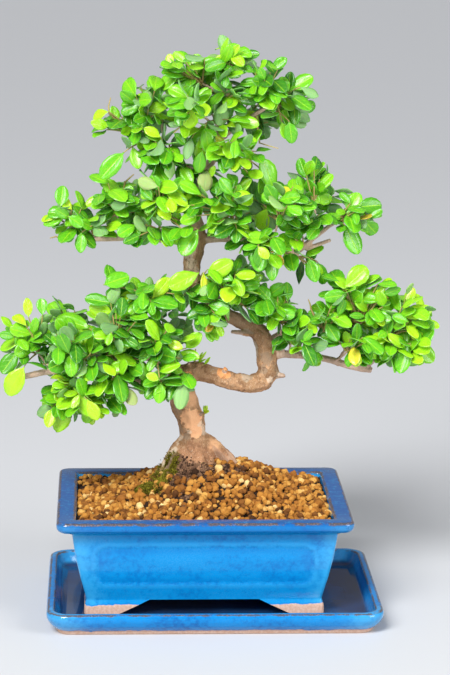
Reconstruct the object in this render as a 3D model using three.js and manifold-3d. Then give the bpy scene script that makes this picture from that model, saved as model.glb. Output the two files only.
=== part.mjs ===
// Sweet plum bonsai: a leafy S-curved tree in a rectangular glazed pot that stands on a drip tray.
// Millimetres. +Z is up, +X points right, -Y points to the front.
// The origin is the centre of the drip tray's flat base, on the surface it stands on.

import * as THREE from 'three';
import { mergeGeometries, mergeVertices } from 'three/addons/utils/BufferGeometryUtils.js';
import Module from 'manifold-3d';

const wasm = await Module();
wasm.setup();

// Drip tray: outer half sizes at its widest, corner radius, and its section as [inset, height].
const TRAY_HALF_X = 116.5;
const TRAY_HALF_Y = 82.5;
const TRAY_CORNER = 15;
const TRAY_FLOOR_Z = 5.5;
const TRAY_SECTION = [
  [8.4, 0], [7.4, 0.8], [7.2, 2.8], [5.6, 3.6], [2.2, 7], [0.4, 10.5], [0, 13.4], [0.9, 15.4],
  [2.6, 16], [4.6, 16], [5.8, 15.2], [6.6, 12.4], [9.6, 7.6], [13, TRAY_FLOOR_Z],
];

// Pot: rim half sizes, corner radius, place on the tray, and its section as [inset, height].
const POT_HALF_X = 102.5;
const POT_HALF_Y = 77.5;
const POT_CORNER = 8;
const POT_X = -7;
const POT_Y = 8;
const POT_UNDERSIDE_Z = 17;
const POT_FLOOR_Z = 22;
const POT_RIM_Z = 77;
const POT_SECTION = [
  [29, POT_UNDERSIDE_Z], [28, TRAY_FLOOR_Z], [19.8, TRAY_FLOOR_Z], [19, 7], [19.2, 12.5],
  [20.6, POT_UNDERSIDE_Z], [19.6, 21], [16.6, 33], [13.6, 47], [11.6, 60], [10.8, 66.4],
  [7.4, 68.2], [1.8, 69.8], [0.2, 71.8], [0, 75.2], [1.3, POT_RIM_Z], [11.8, POT_RIM_Z],
  [13.4, 75.6], [14, 70.5], [17, 63], [18.2, 50], [24, 27], [28, POT_FLOOR_Z],
];
const ARCH_FRONT = { foot: 62, top: 38 };
const ARCH_SIDE = { foot: 36, top: 22 };
const FOOT_EDGE_RISE = 0.4;
const DRAIN_HOLE_RADIUS = 7;
const DRAIN_HOLE_X = 44;

// Rounded corners of the tray and pot: points to each, and how they tighten towards the inside.
const CORNER_POINTS = 4;
const CORNER_TIGHTENING = 0.75;
const LEAST_CORNER = 2.5;

// Soil: it fills the pot to just under the rim and rises in a mound round the root flare.
const SOIL_GAP = 0.3;
const SOIL_LEVEL_Z = 72;
const MOUND_X = 2;
const MOUND_Y = 21;
const MOUND_RISE = 25.5;
const MOUND_RADIUS = 90;
const SOIL_CELLS_X = 25;
const SOIL_CELLS_Y = 18;
const SOIL_BLOCK_INSET = 12;
const SOIL_BLOCK_DEPTH = 4;
const GRAIN_RISE = 2.2;
const GRAIN_RISE_SPREAD = 0.6;
const GRAIN_SCATTER = 2.2;
const GRAIN_SPACING = 3;
const GRAIN_SEED = { first: 5, column: 977, row: 31 };
const SOIL_SECTION = [
  [28, POT_FLOOR_Z], [24, 27], [18.2, 50], [17, 63], [14, 70.5], [13.6, 75], [14, 110],
];

// The least that a corner stands out to be kept in a joined or cut solid, and when two points are one.
const FINEST_DETAIL = 0.1;
const SAME_POINT = 1e-4;

// Trunk and limbs: centre line points and radii as [x, y, z, radius].
const TRUNK = [
  [-12, 25, 88, 13], [-12, 25, 99, 11.6], [-12, 25, 108, 9.6], [-13, 25, 116, 8.7], [-15, 24, 128, 9.2],
  [-18, 23, 138, 9.8], [-21, 22, 147, 9.4], [-23, 21, 155, 8.8], [-19, 20, 162, 8.2], [-10, 19, 164.5, 7.2],
  [3, 18, 161, 6], [15, 18, 157, 6.2], [27, 18, 155, 6.7], [36, 19, 157, 7.2], [40.5, 20, 164, 7.5],
  [39, 21, 173, 7.1], [38, 22, 182, 7], [34, 22, 191, 6.5], [27, 22, 196.5, 5.4], [19, 21, 200, 5],
  [9, 19, 206, 4.9], [-2, 17, 215, 4.8], [-11, 17, 225, 4.8], [-14.5, 18, 234, 5.2], [-15, 19, 242, 6],
  [-13, 20, 250, 6.6], [-10.5, 20, 259, 6], [-11.5, 19, 269, 4.5], [-13, 18, 280, 3.8], [-12, 17, 291, 3.4],
  [-8, 16, 303, 3.1], [-1, 15, 317, 2.9], [2, 14, 330, 2.6], [5, 14, 344, 2.3], [8, 14, 358, 2],
  [8, 14, 371, 1.6],
];
const BRANCHES = {
  shelfLeft: [[-11, 20, 257, 3.6], [-22, 17, 259, 3], [-32, 14, 260, 2.8], [-45, 11, 261, 2.8],
    [-59, 8, 263, 3], [-72, 6, 262, 2.4], [-84, 5, 261.5, 1.8], [-92, 4, 264, 1.2], [-99, 4, 268, 0.9]],
  shelfRight: [[-9, 20, 259, 3.6], [5, 17, 260, 2.6], [16, 14, 260, 2.4], [27, 11, 258, 2.4],
    [36, 9, 255, 2.4], [47, 7, 253, 2.5], [57, 5, 252, 2.8], [63, 4, 257, 2.2], [68, 3, 262, 1.9],
    [77, 2, 269, 1.6], [81, 2, 272.5, 1.3]],
  lowRight: [[40, 21, 175, 4], [51, 18, 177, 2.9], [62, 15, 177, 2.8], [75, 12, 176, 2.6],
    [85, 10, 174, 2.5], [95, 8, 171, 2.5], [104, 6, 169, 2.3], [112, 5, 168, 2.1]],
  lowLeft: [[-20, 21, 147, 6], [-30, 17, 149, 4.4], [-39, 13, 154, 3.9], [-48, 9, 159, 3.5],
    [-62, 5, 166, 3.2], [-76, 1, 170, 2.8], [-93, -2, 171, 2.4], [-107, -4, 170, 2.4],
    [-119, -5, 169, 2.4], [-128, -6, 167, 2.3], [-134, -6, 166, 2.1]],
  crownLeft: [[-8, 16, 303, 2.8], [-20, 13, 312, 1.8], [-34, 10, 322, 1.6], [-45, 8, 329, 1.4],
    [-55, 6, 334, 1]],
  crownRight: [[2, 14, 330, 2.4], [14, 14, 338, 1.8], [28, 13, 348, 1.6], [42, 12, 357, 1.2]],
  lowRightRise: [[102, 6, 169, 2], [110, 5, 172, 1.5], [118, 4, 179, 1.4], [123, 3, 190, 1]],
  backLow: [[38, 22, 180, 3], [44, 34, 186, 2], [54, 42, 190, 1.6], [72, 44, 193, 1.2]],
  backWaist: [[-2, 17, 215, 3], [2, 30, 214, 1.9], [8, 40, 214, 1.4]],
  backShelf: [[-12, 20, 252, 4], [-6, 32, 258, 2.2], [6, 40, 264, 1.8], [30, 42, 266, 1.3]],
  backShelfLeft: [[-12, 20, 256, 3.4], [-24, 30, 260, 2.2], [-40, 36, 263, 1.4]],
  backLowLeft: [[-23, 20, 153, 5], [-30, 32, 162, 2.6], [-44, 40, 169, 2], [-66, 40, 172, 1.6],
    [-92, 37, 178, 1.2]],
  backCrown: [[0, 15, 316, 2.6], [2, 28, 324, 1.8], [6, 38, 330, 1.4]],
};

// Each limb's unevenness is seeded by its first point.
const LIMB_SEED = { x: 31, z: 17 };

// Stubs left by pruning, a knob on the outside of the lower bend, and a bud on the lower trunk.
const STUBS = [
  [[34, 20, 191, 3], [13, 14, 194, 1.4]],
  [[40, 19, 162, 4.4], [51.5, 17, 161.5, 1.4]],
  [[-17, 22, 136, 3.4], [-6, 17, 133.5, 1.8]],
  [[64, 4, 255, 1.8], [81, 0, 262, 1.4]],
  [[28, 13, 326, 1.3], [40.5, 10, 325, 1]],
  [[-19, 20, 163, 2.6], [-16.5, 16, 171.5, 1.1]],
  [[8, 18, 162, 3], [9, 13, 167.4, 2]],
  [[-2, 17, 215, 2], [-16, 13, 226, 1.2]],
  [[44, 20, 178, 3], [47.5, 16, 188, 1.2]],
];

// Root flare and the roots that dive into the soil, as [x, y, z, radius].
const FLARE = [
  [-12, 25, 68, 18], [-12, 25, 80, 22], [-12, 25, 92, 20], [-12, 25, 100, 17], [-12, 25, 106, 13.6],
  [-12, 25, 112, 10.8], [-13, 25, 119, 8.2],
];
const ROOTS = [
  [[-16, 24, 115, 5.4], [-24, 23, 107, 5.2], [-31, 22, 96, 4.8], [-37, 21, 86, 4.4], [-40, 20, 76, 3]],
  [[-6, 24, 114, 5.4], [3, 23, 108, 5.2], [11, 22, 100, 5], [18, 21, 90, 4.4], [20, 20, 79, 3]],
  [[-11, 20, 110, 5], [-8, 11, 100, 5], [-6, 3, 90, 4.4], [-5, -1, 79, 3]],
  [[-13, 30, 110, 5], [-15, 39, 100, 5], [-17, 47, 90, 4.4], [-18, 50, 79, 3]],
];

// Foliage: one spray for each entry, as [x, y, z, reach x, reach y, reach z, leaves].
const SPRAYS = {
  crown_top: [6, 14, 383, 14, 17, 15, 8], crown_left_high: [-18, 8, 372, 20, 20, 15, 8],
  crown_left_mid: [-46, 4, 354, 24, 22, 17, 8], crown_left_low: [-61, 0, 339, 18, 18, 16, 7],
  crown_front: [-18, -22, 357, 26, 16, 19, 8], crown_right_high: [32, 4, 369, 20, 20, 17, 7],
  crown_right_tip: [48, 12, 352, 14, 16, 17, 6], crown_front_low: [11, -14, 327, 27, 18, 17, 8],
  crown_left_under: [-35, 2, 326, 22, 20, 17, 7], crown_back: [-5, 46, 355, 26, 18, 19, 7],
  crown_back_right: [31, 44, 342, 25, 18, 19, 7], crown_back_left: [-37, 42, 346, 22, 18, 17, 7],
  shelf_left_tip: [-95, 4, 275, 16, 12, 13, 6], shelf_left_mid: [-71, -2, 290, 25, 20, 19, 8],
  shelf_left_root: [-38, -12, 290, 25, 18, 20, 8], shelf_left_back: [-55, 38, 277, 26, 18, 18, 7],
  shelf_right_root: [11, -16, 289, 25, 18, 20, 8], shelf_right_mid: [46, -12, 285, 25, 18, 20, 8],
  shelf_right_high: [68, 8, 295, 20, 18, 17, 7], shelf_right_tip: [93, 0, 279, 20, 14, 15, 6],
  shelf_right_low: [34, -14, 262, 23, 16, 16, 6], shelf_right_drop: [65, 4, 246, 12, 11, 12, 4],
  shelf_right_back: [30, 44, 280, 27, 18, 19, 7], shelf_right_back_tip: [70, 40, 280, 22, 18, 17, 6],
  waist_left: [-13, -8, 235, 20, 14, 14, 6], waist_mid: [15, -10, 228, 26, 18, 19, 8],
  waist_right: [45, -4, 212, 19, 16, 16, 6], waist_back: [19, 46, 222, 25, 18, 16, 7],
  waist_low: [-3, -12, 212, 12, 12, 13, 4],
  low_left_tip: [-130, 0, 189, 19, 16, 22, 8], low_left_outer: [-99, -16, 186, 27, 20, 25, 9],
  low_left_mid: [-67, -18, 199, 26, 20, 25, 9], low_left_root: [-38, -12, 189, 23, 18, 24, 8],
  low_left_under: [-33, -8, 164, 18, 16, 14, 5], low_left_drop: [-81, -12, 156, 26, 16, 18, 7],
  low_left_high: [-57, 4, 220, 24, 16, 15, 6], low_left_back_tip: [-104, 34, 191, 24, 18, 18, 7],
  low_left_back: [-65, 40, 187, 27, 20, 23, 8], low_left_back_root: [-32, 50, 186, 19, 14, 19, 7],
  low_left_hang: [-101, 4, 150, 14, 13, 15, 6],
  low_right_root: [56, 2, 198, 17, 14, 17, 6], low_right_mid: [79, -8, 204, 24, 18, 22, 8],
  low_right_high: [108, 2, 212, 23, 18, 20, 8], low_right_tip: [135, 4, 202, 20, 16, 19, 8],
  low_right_tip_low: [138, 2, 182, 22, 12, 17, 7], low_right_under: [97, -10, 187, 18, 14, 16, 5],
  low_right_front: [64, -12, 184, 15, 12, 15, 4], low_right_back: [99, 42, 198, 26, 18, 20, 7],
};

// Leaves: blade stations as [share of the length, half width], cupped by the fold and drooping to the tip.
const LEAF_LENGTH = 17;
const LEAF_LENGTH_SPREAD = 5;
const LEAF_WIDTH_SHARE = 0.54;
const LEAF_WIDTH_SPREAD = 0.1;
const LEAF_THICKNESS = 0.7;
const LEAF_STATIONS = [[0.3, 0.42], [0.66, 0.47], [1, 0]];
const LEAF_CORNERS = [[-1, -1], [1, -1], [1, 1], [-1, 1]];
const LEAF_STALK_SHARE = 0.12;
const LEAF_FOLD = 0.22;
const LEAF_DROOP = 0.08;
const LEAF_CLEARANCE = 0.2;
const LEAF_SIZE_MIDDLE = 0.45;

// How a leaf leaves its shoot and which way its upper face turns; later tries are looser and smaller.
const LEAF_LEAN = {
  along: 0.45, atTip: 1.2, outward: 0.45, leastOut: 0.5, toSky: 0.6, toFront: -0.5, toBack: 0.4,
  downward: 0.1, looseShare: 0.7,
};
const LEAF_TRIES = 30;
const LEAF_LOOSENESS = 0.35;
const LEAF_LOOSENING = 0.07;
const LEAF_SHRINKING = 0.015;

// Shoots: three-sided, one leaf to each joint, each leaf a third of a turn on from the last.
const SHOOT_SIDES = 3;
const SHOOT_RADIUS = 0.75;
const SHOOT_CLEARANCE = 0.1;
const SHOOT_TRIES = 12;
const SHOOT_SWAY = 5;
const SHOOT_SWAY_MORE = 3;
const SHOOT_ARCH = 1.5;
const SHOOT_PAST_CENTRE = 0.5;
const SHOOT_SWAY_MIDDLE = { across: 0.5, up: 0.3 };
const SHOOT_SEED = { first: 1009, step: 131 };
const STALK_LENGTH = 1.1;

// Twigs: they leave the limb nearest to a point low and inside of the spray, and end inside its reach.
const TWIG_RADIUS = 1.1;
const TWIG_TAPER = [1.3, 1.1, 1];
const TWIG_GAP = 0.3;
const TWIG_LEAST_LENGTH = 5;
const TWIG_SHARE_OF_REACH = 0.62;
const TWIG_SAG_SHARE = 0.08;
const TWIG_MOST_SAG = 2;
const TWIG_START = { inX: 0.86, inY: 0.9, back: 2, below: 0.55 };
const TRUNK_PLANE_Y = 24;
const FIRST_BUD_OF_TRUNK = 19;
const BUDS_PER_SPAN = 4;

const COLOURS = {
  clayGlaze: 0x1f7fd0,
  trayGlaze: 0x1f6fc0,
  soil: 0xc98f45,
  bark: 0xb48a63,
  leaves: [0x4fa61c, 0x5cb821, 0x3f9420, 0x7cc92a, 0x48a02c],
};

/** A repeatable stream of numbers from 0 to 1 (mulberry32). */
function seeded(seed) {
  let state = seed >>> 0;
  return () => {
    state = (state + 0x6d2b79f5) >>> 0;
    let t = state;
    t = Math.imul(t ^ (t >>> 15), t | 1);
    t ^= t + Math.imul(t ^ (t >>> 7), t | 61);
    return ((t ^ (t >>> 14)) >>> 0) / 4294967296;
  };
}

/** Welds a closed geometry and turns it into a solid. */
function toSolid(geometry) {
  const plain = geometry.clone();
  plain.deleteAttribute('normal');
  plain.deleteAttribute('uv');
  const welded = mergeVertices(plain, SAME_POINT);
  const mesh = new wasm.Mesh({
    numProp: 3,
    vertProperties: new Float32Array(welded.attributes.position.array),
    triVerts: new Uint32Array(welded.index.array),
  });
  return new wasm.Manifold(mesh);
}

/** Turns a solid back into a geometry. */
function toGeometry(solid) {
  const mesh = solid.getMesh();
  const points = new Float32Array(mesh.numVert * 3);
  for (let i = 0; i < mesh.numVert; i += 1) {
    for (let k = 0; k < 3; k += 1) {
      points[i * 3 + k] = mesh.vertProperties[i * mesh.numProp + k];
    }
  }
  const geometry = new THREE.BufferGeometry();
  geometry.setAttribute('position', new THREE.BufferAttribute(points, 3));
  geometry.setIndex(new THREE.BufferAttribute(new Uint32Array(mesh.triVerts), 1));
  geometry.computeVertexNormals();
  return geometry;
}

/** The largest body of a solid; loose scrap left by a cut is dropped. */
function largestBody(solid) {
  return solid.decompose().sort((a, b) => b.volume() - a.volume())[0];
}

/** Fuses a list of solids into one. */
function fuse(solids) {
  return solids.reduce((sum, solid) => sum.add(solid));
}

/** The largest body of a joined or cut solid, without the hair-thin faces that its seams leave. */
function finished(solid) {
  return largestBody(solid).asOriginal().simplify(FINEST_DETAIL);
}

/** A point of a rounded rectangle; steps run anticlockwise, CORNER_POINTS to each corner. */
function rectanglePoint(halfX, halfY, corner, step) {
  const quadrant = Math.floor(step / CORNER_POINTS) % 4;
  const along = (step % CORNER_POINTS) / (CORNER_POINTS - 1);
  const angle = (quadrant + along) * (Math.PI / 2);
  const signX = quadrant === 0 || quadrant === 3 ? 1 : -1;
  const signY = quadrant < 2 ? 1 : -1;
  return [
    signX * (halfX - corner) + corner * Math.cos(angle),
    signY * (halfY - corner) + corner * Math.sin(angle),
  ];
}

/** A body turned from a section and then laid round a rounded rectangle. */
function rectangularTurning({ halfX, halfY, corner, section, x = 0, y = 0 }) {
  const steps = CORNER_POINTS * 4;
  const rows = [[null, section[0][1]], ...section, [null, section[section.length - 1][1]]];
  const lathePoints = rows.map(([inset, z]) => new THREE.Vector2(inset === null ? 0 : halfX - inset, z));
  const geometry = new THREE.LatheGeometry(lathePoints, steps);
  const position = geometry.attributes.position;
  for (let turn = 0; turn <= steps; turn += 1) {
    rows.forEach(([inset, z], row) => {
      const index = turn * rows.length + row;
      if (inset === null) {
        position.setXYZ(index, x, y, z);
        return;
      }
      const radius = Math.max(corner - inset * CORNER_TIGHTENING, LEAST_CORNER);
      const [px, py] = rectanglePoint(halfX - inset, halfY - inset, radius, turn % steps);
      position.setXYZ(index, x + px, y + py, z);
    });
  }
  return outward(geometry);
}

/** A closed geometry as a solid with its faces pointing out. */
function outward(geometry) {
  const solid = toSolid(geometry);
  return solid.volume() > 0 ? solid : toSolid(flipped(geometry));
}

/** The same geometry with its faces turned over. */
function flipped(geometry) {
  const copy = geometry.index ? geometry.clone() : mergeVertices(geometry.clone());
  const index = copy.index.array;
  for (let i = 0; i < index.length; i += 3) {
    [index[i], index[i + 1]] = [index[i + 1], index[i]];
  }
  return copy;
}

/** A tube through rings of corners, which run the same way round the tube in every ring. */
function sleeve(rings, openEnded = false) {
  const sides = rings[0].length;
  const steps = rings.length - 1;
  const geometry = new THREE.CylinderGeometry(1, 1, 1, sides, steps, openEnded);
  const position = geometry.attributes.position;
  const vertex = new THREE.Vector3();
  for (let i = 0; i < position.count; i += 1) {
    vertex.fromBufferAttribute(position, i);
    const ring = rings[Math.round((vertex.y + 0.5) * steps)];
    const side = (Math.round((Math.atan2(vertex.x, vertex.z) / (2 * Math.PI)) * sides) + sides) % sides;
    const target = Math.hypot(vertex.x, vertex.z) < 0.5 ? middleOf(ring) : ring[side];
    position.setXYZ(i, target.x, target.y, target.z);
  }
  return geometry;
}

/** The middle of a list of points. */
function middleOf(points) {
  return points.reduce((sum, point) => sum.add(point), new THREE.Vector3()).divideScalar(points.length);
}

/** The corners of a ring round a centre, with the radius of each corner given by radiusOf(side). */
function ringOf(centre, u, v, sides, radiusOf) {
  return Array.from({ length: sides }, (_, side) => {
    const angle = (side / sides) * 2 * Math.PI;
    const radius = radiusOf(side);
    return centre.clone()
      .addScaledVector(u, Math.cos(angle) * radius)
      .addScaledVector(v, Math.sin(angle) * radius);
  });
}

/** Directions across a line at each of its tangents, carried along without turning about it. */
function framesAlong(tangents, first = perpendicular(tangents[0])) {
  const across = first.clone();
  return tangents.map((tangent) => {
    across.addScaledVector(tangent, -across.dot(tangent)).normalize();
    return { u: across.clone(), v: tangent.clone().cross(across) };
  });
}

/** A tapering round limb through [x, y, z, radius] points; grow widens it all round. */
function limb(points, sides, grow = 0, knobbly = 0) {
  const curve = new THREE.CatmullRomCurve3(points.map(([x, y, z]) => new THREE.Vector3(x, y, z)));
  const last = points.length - 1;
  const centres = points.map((_, i) => curve.getPoint(i / last));
  const tangents = points.map((_, i) => curve.getTangent(i / last).normalize());
  centres[0].addScaledVector(tangents[0], -grow);
  centres[last].addScaledVector(tangents[last], grow);
  const [firstX, , firstZ] = points[0];
  const random = seeded(Math.round(firstX * LIMB_SEED.x + firstZ * LIMB_SEED.z + points.length));
  const rings = framesAlong(tangents).map(({ u, v }, i) => (
    ringOf(centres[i], u, v, sides, () => (points[i][3] + grow) * (1 + (random() - 0.5) * knobbly))));
  return toSolid(sleeve(rings));
}

/** Any unit vector at right angles to the given one. */
function perpendicular(direction) {
  const helper = Math.abs(direction.z) < 0.9 ? new THREE.Vector3(0, 0, 1) : new THREE.Vector3(1, 0, 0);
  return helper.addScaledVector(direction, -helper.dot(direction)).normalize();
}

/** The pot's arch cutter: a long wedge-sided prism that leaves corner feet. */
function archCutter(arch, length, alongX) {
  const low = TRAY_FLOOR_Z - 2;
  const edge = TRAY_FLOOR_Z + FOOT_EDGE_RISE;
  const shape = new THREE.Shape([
    new THREE.Vector2(-arch.foot, low), new THREE.Vector2(arch.foot, low),
    new THREE.Vector2(arch.foot, edge), new THREE.Vector2(arch.top, POT_UNDERSIDE_Z),
    new THREE.Vector2(-arch.top, POT_UNDERSIDE_Z), new THREE.Vector2(-arch.foot, edge),
  ]);
  const geometry = new THREE.ExtrudeGeometry(shape, { depth: length, bevelEnabled: false });
  geometry.translate(0, 0, -length / 2);
  geometry.rotateX(Math.PI / 2);
  if (alongX) {
    geometry.rotateZ(Math.PI / 2);
  }
  geometry.translate(POT_X, POT_Y, 0);
  return toSolid(geometry);
}

/** The pot with corner feet and two drainage holes. */
function makePot() {
  let pot = rectangularTurning({
    halfX: POT_HALF_X, halfY: POT_HALF_Y, corner: POT_CORNER, section: POT_SECTION, x: POT_X, y: POT_Y,
  });
  pot = pot.subtract(archCutter(ARCH_FRONT, POT_HALF_Y * 2, false));
  pot = pot.subtract(archCutter(ARCH_SIDE, POT_HALF_X * 2, true));
  for (const side of [-1, 1]) {
    const depth = (POT_FLOOR_Z - POT_UNDERSIDE_Z) * 2;
    const hole = new THREE.CylinderGeometry(DRAIN_HOLE_RADIUS, DRAIN_HOLE_RADIUS, depth, 16);
    hole.rotateX(Math.PI / 2);
    hole.translate(POT_X + side * DRAIN_HOLE_X, POT_Y, (POT_FLOOR_Z + POT_UNDERSIDE_Z) / 2);
    pot = pot.subtract(toSolid(hole));
  }
  return pot;
}

/** The height of the soil mound, before the grains are added. */
function moundHeight(x, y) {
  const share = Math.min(Math.hypot(x - MOUND_X, y - MOUND_Y) / MOUND_RADIUS, 1);
  return SOIL_LEVEL_Z + MOUND_RISE * 0.5 * (1 + Math.cos(Math.PI * share));
}

/** The soil: a mound of coarse grains, shaped to the pot's inside and cut round the roots. */
function makeSoil(rootSocket) {
  const width = (POT_HALF_X - SOIL_BLOCK_INSET) * 2;
  const depth = (POT_HALF_Y - SOIL_BLOCK_INSET) * 2;
  const block = new THREE.BoxGeometry(width, depth, POT_RIM_Z, SOIL_CELLS_X, SOIL_CELLS_Y, 1);
  const position = block.attributes.position;
  for (let i = 0; i < position.count; i += 1) {
    const column = Math.round((position.getX(i) / width + 0.5) * SOIL_CELLS_X);
    const row = Math.round((position.getY(i) / depth + 0.5) * SOIL_CELLS_Y);
    const random = seeded(GRAIN_SEED.first + column * GRAIN_SEED.column + row * GRAIN_SEED.row);
    const x = POT_X + position.getX(i) + (random() - 0.5) * GRAIN_SCATTER;
    const y = POT_Y + position.getY(i) + (random() - 0.5) * GRAIN_SCATTER;
    const isPeak = (column + row) % GRAIN_SPACING === 0;
    const grain = isPeak ? GRAIN_RISE * (GRAIN_RISE_SPREAD + random()) : -random();
    const isTop = position.getZ(i) > 0;
    position.setXYZ(i, x, y, isTop ? moundHeight(x, y) + grain : POT_FLOOR_Z - SOIL_BLOCK_DEPTH);
  }
  const inside = rectangularTurning({
    halfX: POT_HALF_X, halfY: POT_HALF_Y, corner: POT_CORNER, x: POT_X, y: POT_Y,
    section: SOIL_SECTION.map(([inset, z], row) => [inset + SOIL_GAP, row === 0 ? z + SOIL_GAP : z]),
  });
  return finished(toSolid(block).intersect(inside).subtract(rootSocket));
}

/** The buried flare and the roots; grow widens them to make the socket in the soil. */
function rootSystem(grow) {
  return fuse([limb(FLARE, 10, grow), ...ROOTS.map((root) => limb(root, 5, grow))]);
}

/** Points spread along every limb, from which twigs may leave. */
function budPoints() {
  const points = [];
  const paths = [TRUNK.slice(FIRST_BUD_OF_TRUNK), ...Object.values(BRANCHES)];
  for (const path of paths) {
    const curve = new THREE.CatmullRomCurve3(path.map(([x, y, z]) => new THREE.Vector3(x, y, z)));
    const steps = (path.length - 1) * BUDS_PER_SPAN;
    for (let i = BUDS_PER_SPAN; i <= steps; i += 1) {
      points.push(curve.getPoint(i / steps));
    }
  }
  return points;
}

/** Where a spray's twig leaves its limb, where it ends, and which way it points there. */
function twigFor([x, y, z, reachX, reachY, reachZ], buds) {
  const centre = new THREE.Vector3(x, y, z);
  const { inX, inY, back, below } = TWIG_START;
  const wanted = new THREE.Vector3(x * inX, y * inY + back, z - reachZ * below);
  const start = buds.reduce((best, bud) => (bud.distanceTo(wanted) < best.distanceTo(wanted) ? bud : best));
  const toCentre = centre.clone().sub(start);
  const length = toCentre.length();
  const inside = TWIG_SHARE_OF_REACH * Math.min(reachX, reachY, reachZ);
  const hold = Math.min(Math.max(length - inside, TWIG_LEAST_LENGTH), length);
  const end = start.clone().addScaledVector(toCentre, hold / length);
  const middle = start.clone().lerp(end, 0.5);
  middle.z -= Math.min(hold * TWIG_SAG_SHARE, TWIG_MOST_SAG);
  const direction = end.clone().sub(middle).normalize();
  return { start, middle, end, direction, centre };
}

/** A leaf's rings of four corners at its blade stations; the tip's ring closes to an edge. */
function bladeRings({ base, direction, up, across, length, width }, stations) {
  return stations.map(([along, out]) => LEAF_CORNERS.map(([side, face]) => {
    const lift = out * LEAF_FOLD * width - along * along * LEAF_DROOP * length + face * LEAF_THICKNESS / 2;
    return base.clone()
      .addScaledVector(direction, along * length)
      .addScaledVector(across, side * out * width)
      .addScaledVector(up, lift);
  }));
}

/** A leaf that grows from the four corners of a wall, open there, and turned as little as can be. */
function leafFrom(wall, leaf) {
  const middle = middleOf(wall);
  const fit = (shift) => LEAF_CORNERS.reduce((sum, [side, face], k) => {
    const offset = wall[(k + shift) % 4].clone().sub(middle);
    return sum + side * offset.dot(leaf.across) + face * offset.dot(leaf.up);
  }, 0);
  const best = [0, 1, 2, 3].reduce((a, b) => (fit(b) > fit(a) ? b : a));
  return sleeve([LEAF_CORNERS.map((_, k) => wall[(k + best) % 4]), ...bladeRings(leaf, LEAF_STATIONS)], true);
}

/** A blade closed off near its stalk, for trying whether a leaf's place is clear. */
function bladeAlone(leaf) {
  return toSolid(sleeve(bladeRings(leaf, [[LEAF_STALK_SHARE, LEAF_STALK_SHARE], ...LEAF_STATIONS])));
}

/** A shoot's rings: one at its start, then a pair for each leaf with the leaf's stalk between them. */
function shootRings(curve, leafCount, roll) {
  const stalk = STALK_LENGTH / curve.getLength();
  const stations = [0];
  for (let i = 1; i <= leafCount; i += 1) {
    stations.push(i / leafCount - stalk, i / leafCount);
  }
  const tangents = stations.map((t) => curve.getTangent(t).normalize());
  const first = perpendicular(tangents[0]).applyAxisAngle(tangents[0], roll);
  return framesAlong(tangents, first).map(({ u, v }, i) => (
    ringOf(curve.getPoint(stations[i]), u, v, SHOOT_SIDES, () => SHOOT_RADIUS)));
}

/** The wall between a leaf's two rings on one side of a shoot, and the way that it faces. */
function wallAt(rings, joint, side) {
  const [low, high] = [rings[2 * joint - 1], rings[2 * joint]];
  const next = (side + 1) % SHOOT_SIDES;
  const corners = [low[side], low[next], high[next], high[side]];
  const tangent = middleOf(high).sub(middleOf(low)).normalize();
  const out = middleOf(corners).sub(middleOf([...low, ...high])).normalize();
  return { joint, side, corners, tangent, out };
}

/** A shoot with its leaves as one body: the wall where a leaf grows is left out. */
function leafyShoot(rings, leaves) {
  const shoot = sleeve(rings);
  const steps = rings.length - 1;
  const open = new Set(leaves.map(({ wall }) => wall.side * steps + steps - 2 * wall.joint));
  shoot.setIndex(Array.from(shoot.index.array).filter((_, i) => !open.has(Math.floor(i / 6))));
  return toSolid(mergeGeometries([shoot, ...leaves.map(({ geometry }) => geometry)]));
}

/** The triangles of a geometry, each with its box. */
function trianglesOf(geometry) {
  const { index, attributes } = geometry;
  const triangles = [];
  for (let i = 0; i < index.count; i += 3) {
    const triangle = new THREE.Triangle();
    const [a, b, c] = [index.getX(i), index.getX(i + 1), index.getX(i + 2)];
    triangle.setFromAttributeAndIndices(attributes.position, a, b, c);
    const corners = [triangle.a, triangle.b, triangle.c];
    triangles.push({ triangle, corners, box: new THREE.Box3().setFromPoints(corners) });
  }
  return triangles;
}

/** Whether an edge of the first triangle passes through the second. */
function pierces({ corners }, { triangle }) {
  return corners.some((from, k) => {
    const edge = corners[(k + 1) % 3].clone().sub(from);
    const reach = edge.length();
    const hit = new THREE.Ray(from, edge.normalize())
      .intersectTriangle(triangle.a, triangle.b, triangle.c, false, new THREE.Vector3());
    return hit !== null && hit.distanceTo(from) < reach;
  });
}

/** Whether any triangle of one list crosses one of another; those that share a corner are let be. */
function cross(some, others) {
  return some.some((a) => others.some((b) => a.box.intersectsBox(b.box)
    && !a.corners.some((p) => b.corners.some((q) => p.distanceToSquared(q) < SAME_POINT ** 2))
    && (pierces(a, b) || pierces(b, a))));
}

/** Keeps solids with their boxes and tells whether a new one comes near any of them. */
class Neighbours {
  constructor() {
    this.entries = [];
  }

  add(solid) {
    const { min, max } = solid.boundingBox();
    this.entries.push({ solid, min, max });
  }

  touches(solid, clearance = LEAF_CLEARANCE) {
    const { min, max } = solid.boundingBox();
    return this.entries.some((entry) => {
      for (let k = 0; k < 3; k += 1) {
        if (entry.min[k] > max[k] + clearance || entry.max[k] < min[k] - clearance) {
          return false;
        }
      }
      return solid.minGap(entry.solid, clearance) < clearance;
    });
  }
}

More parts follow.
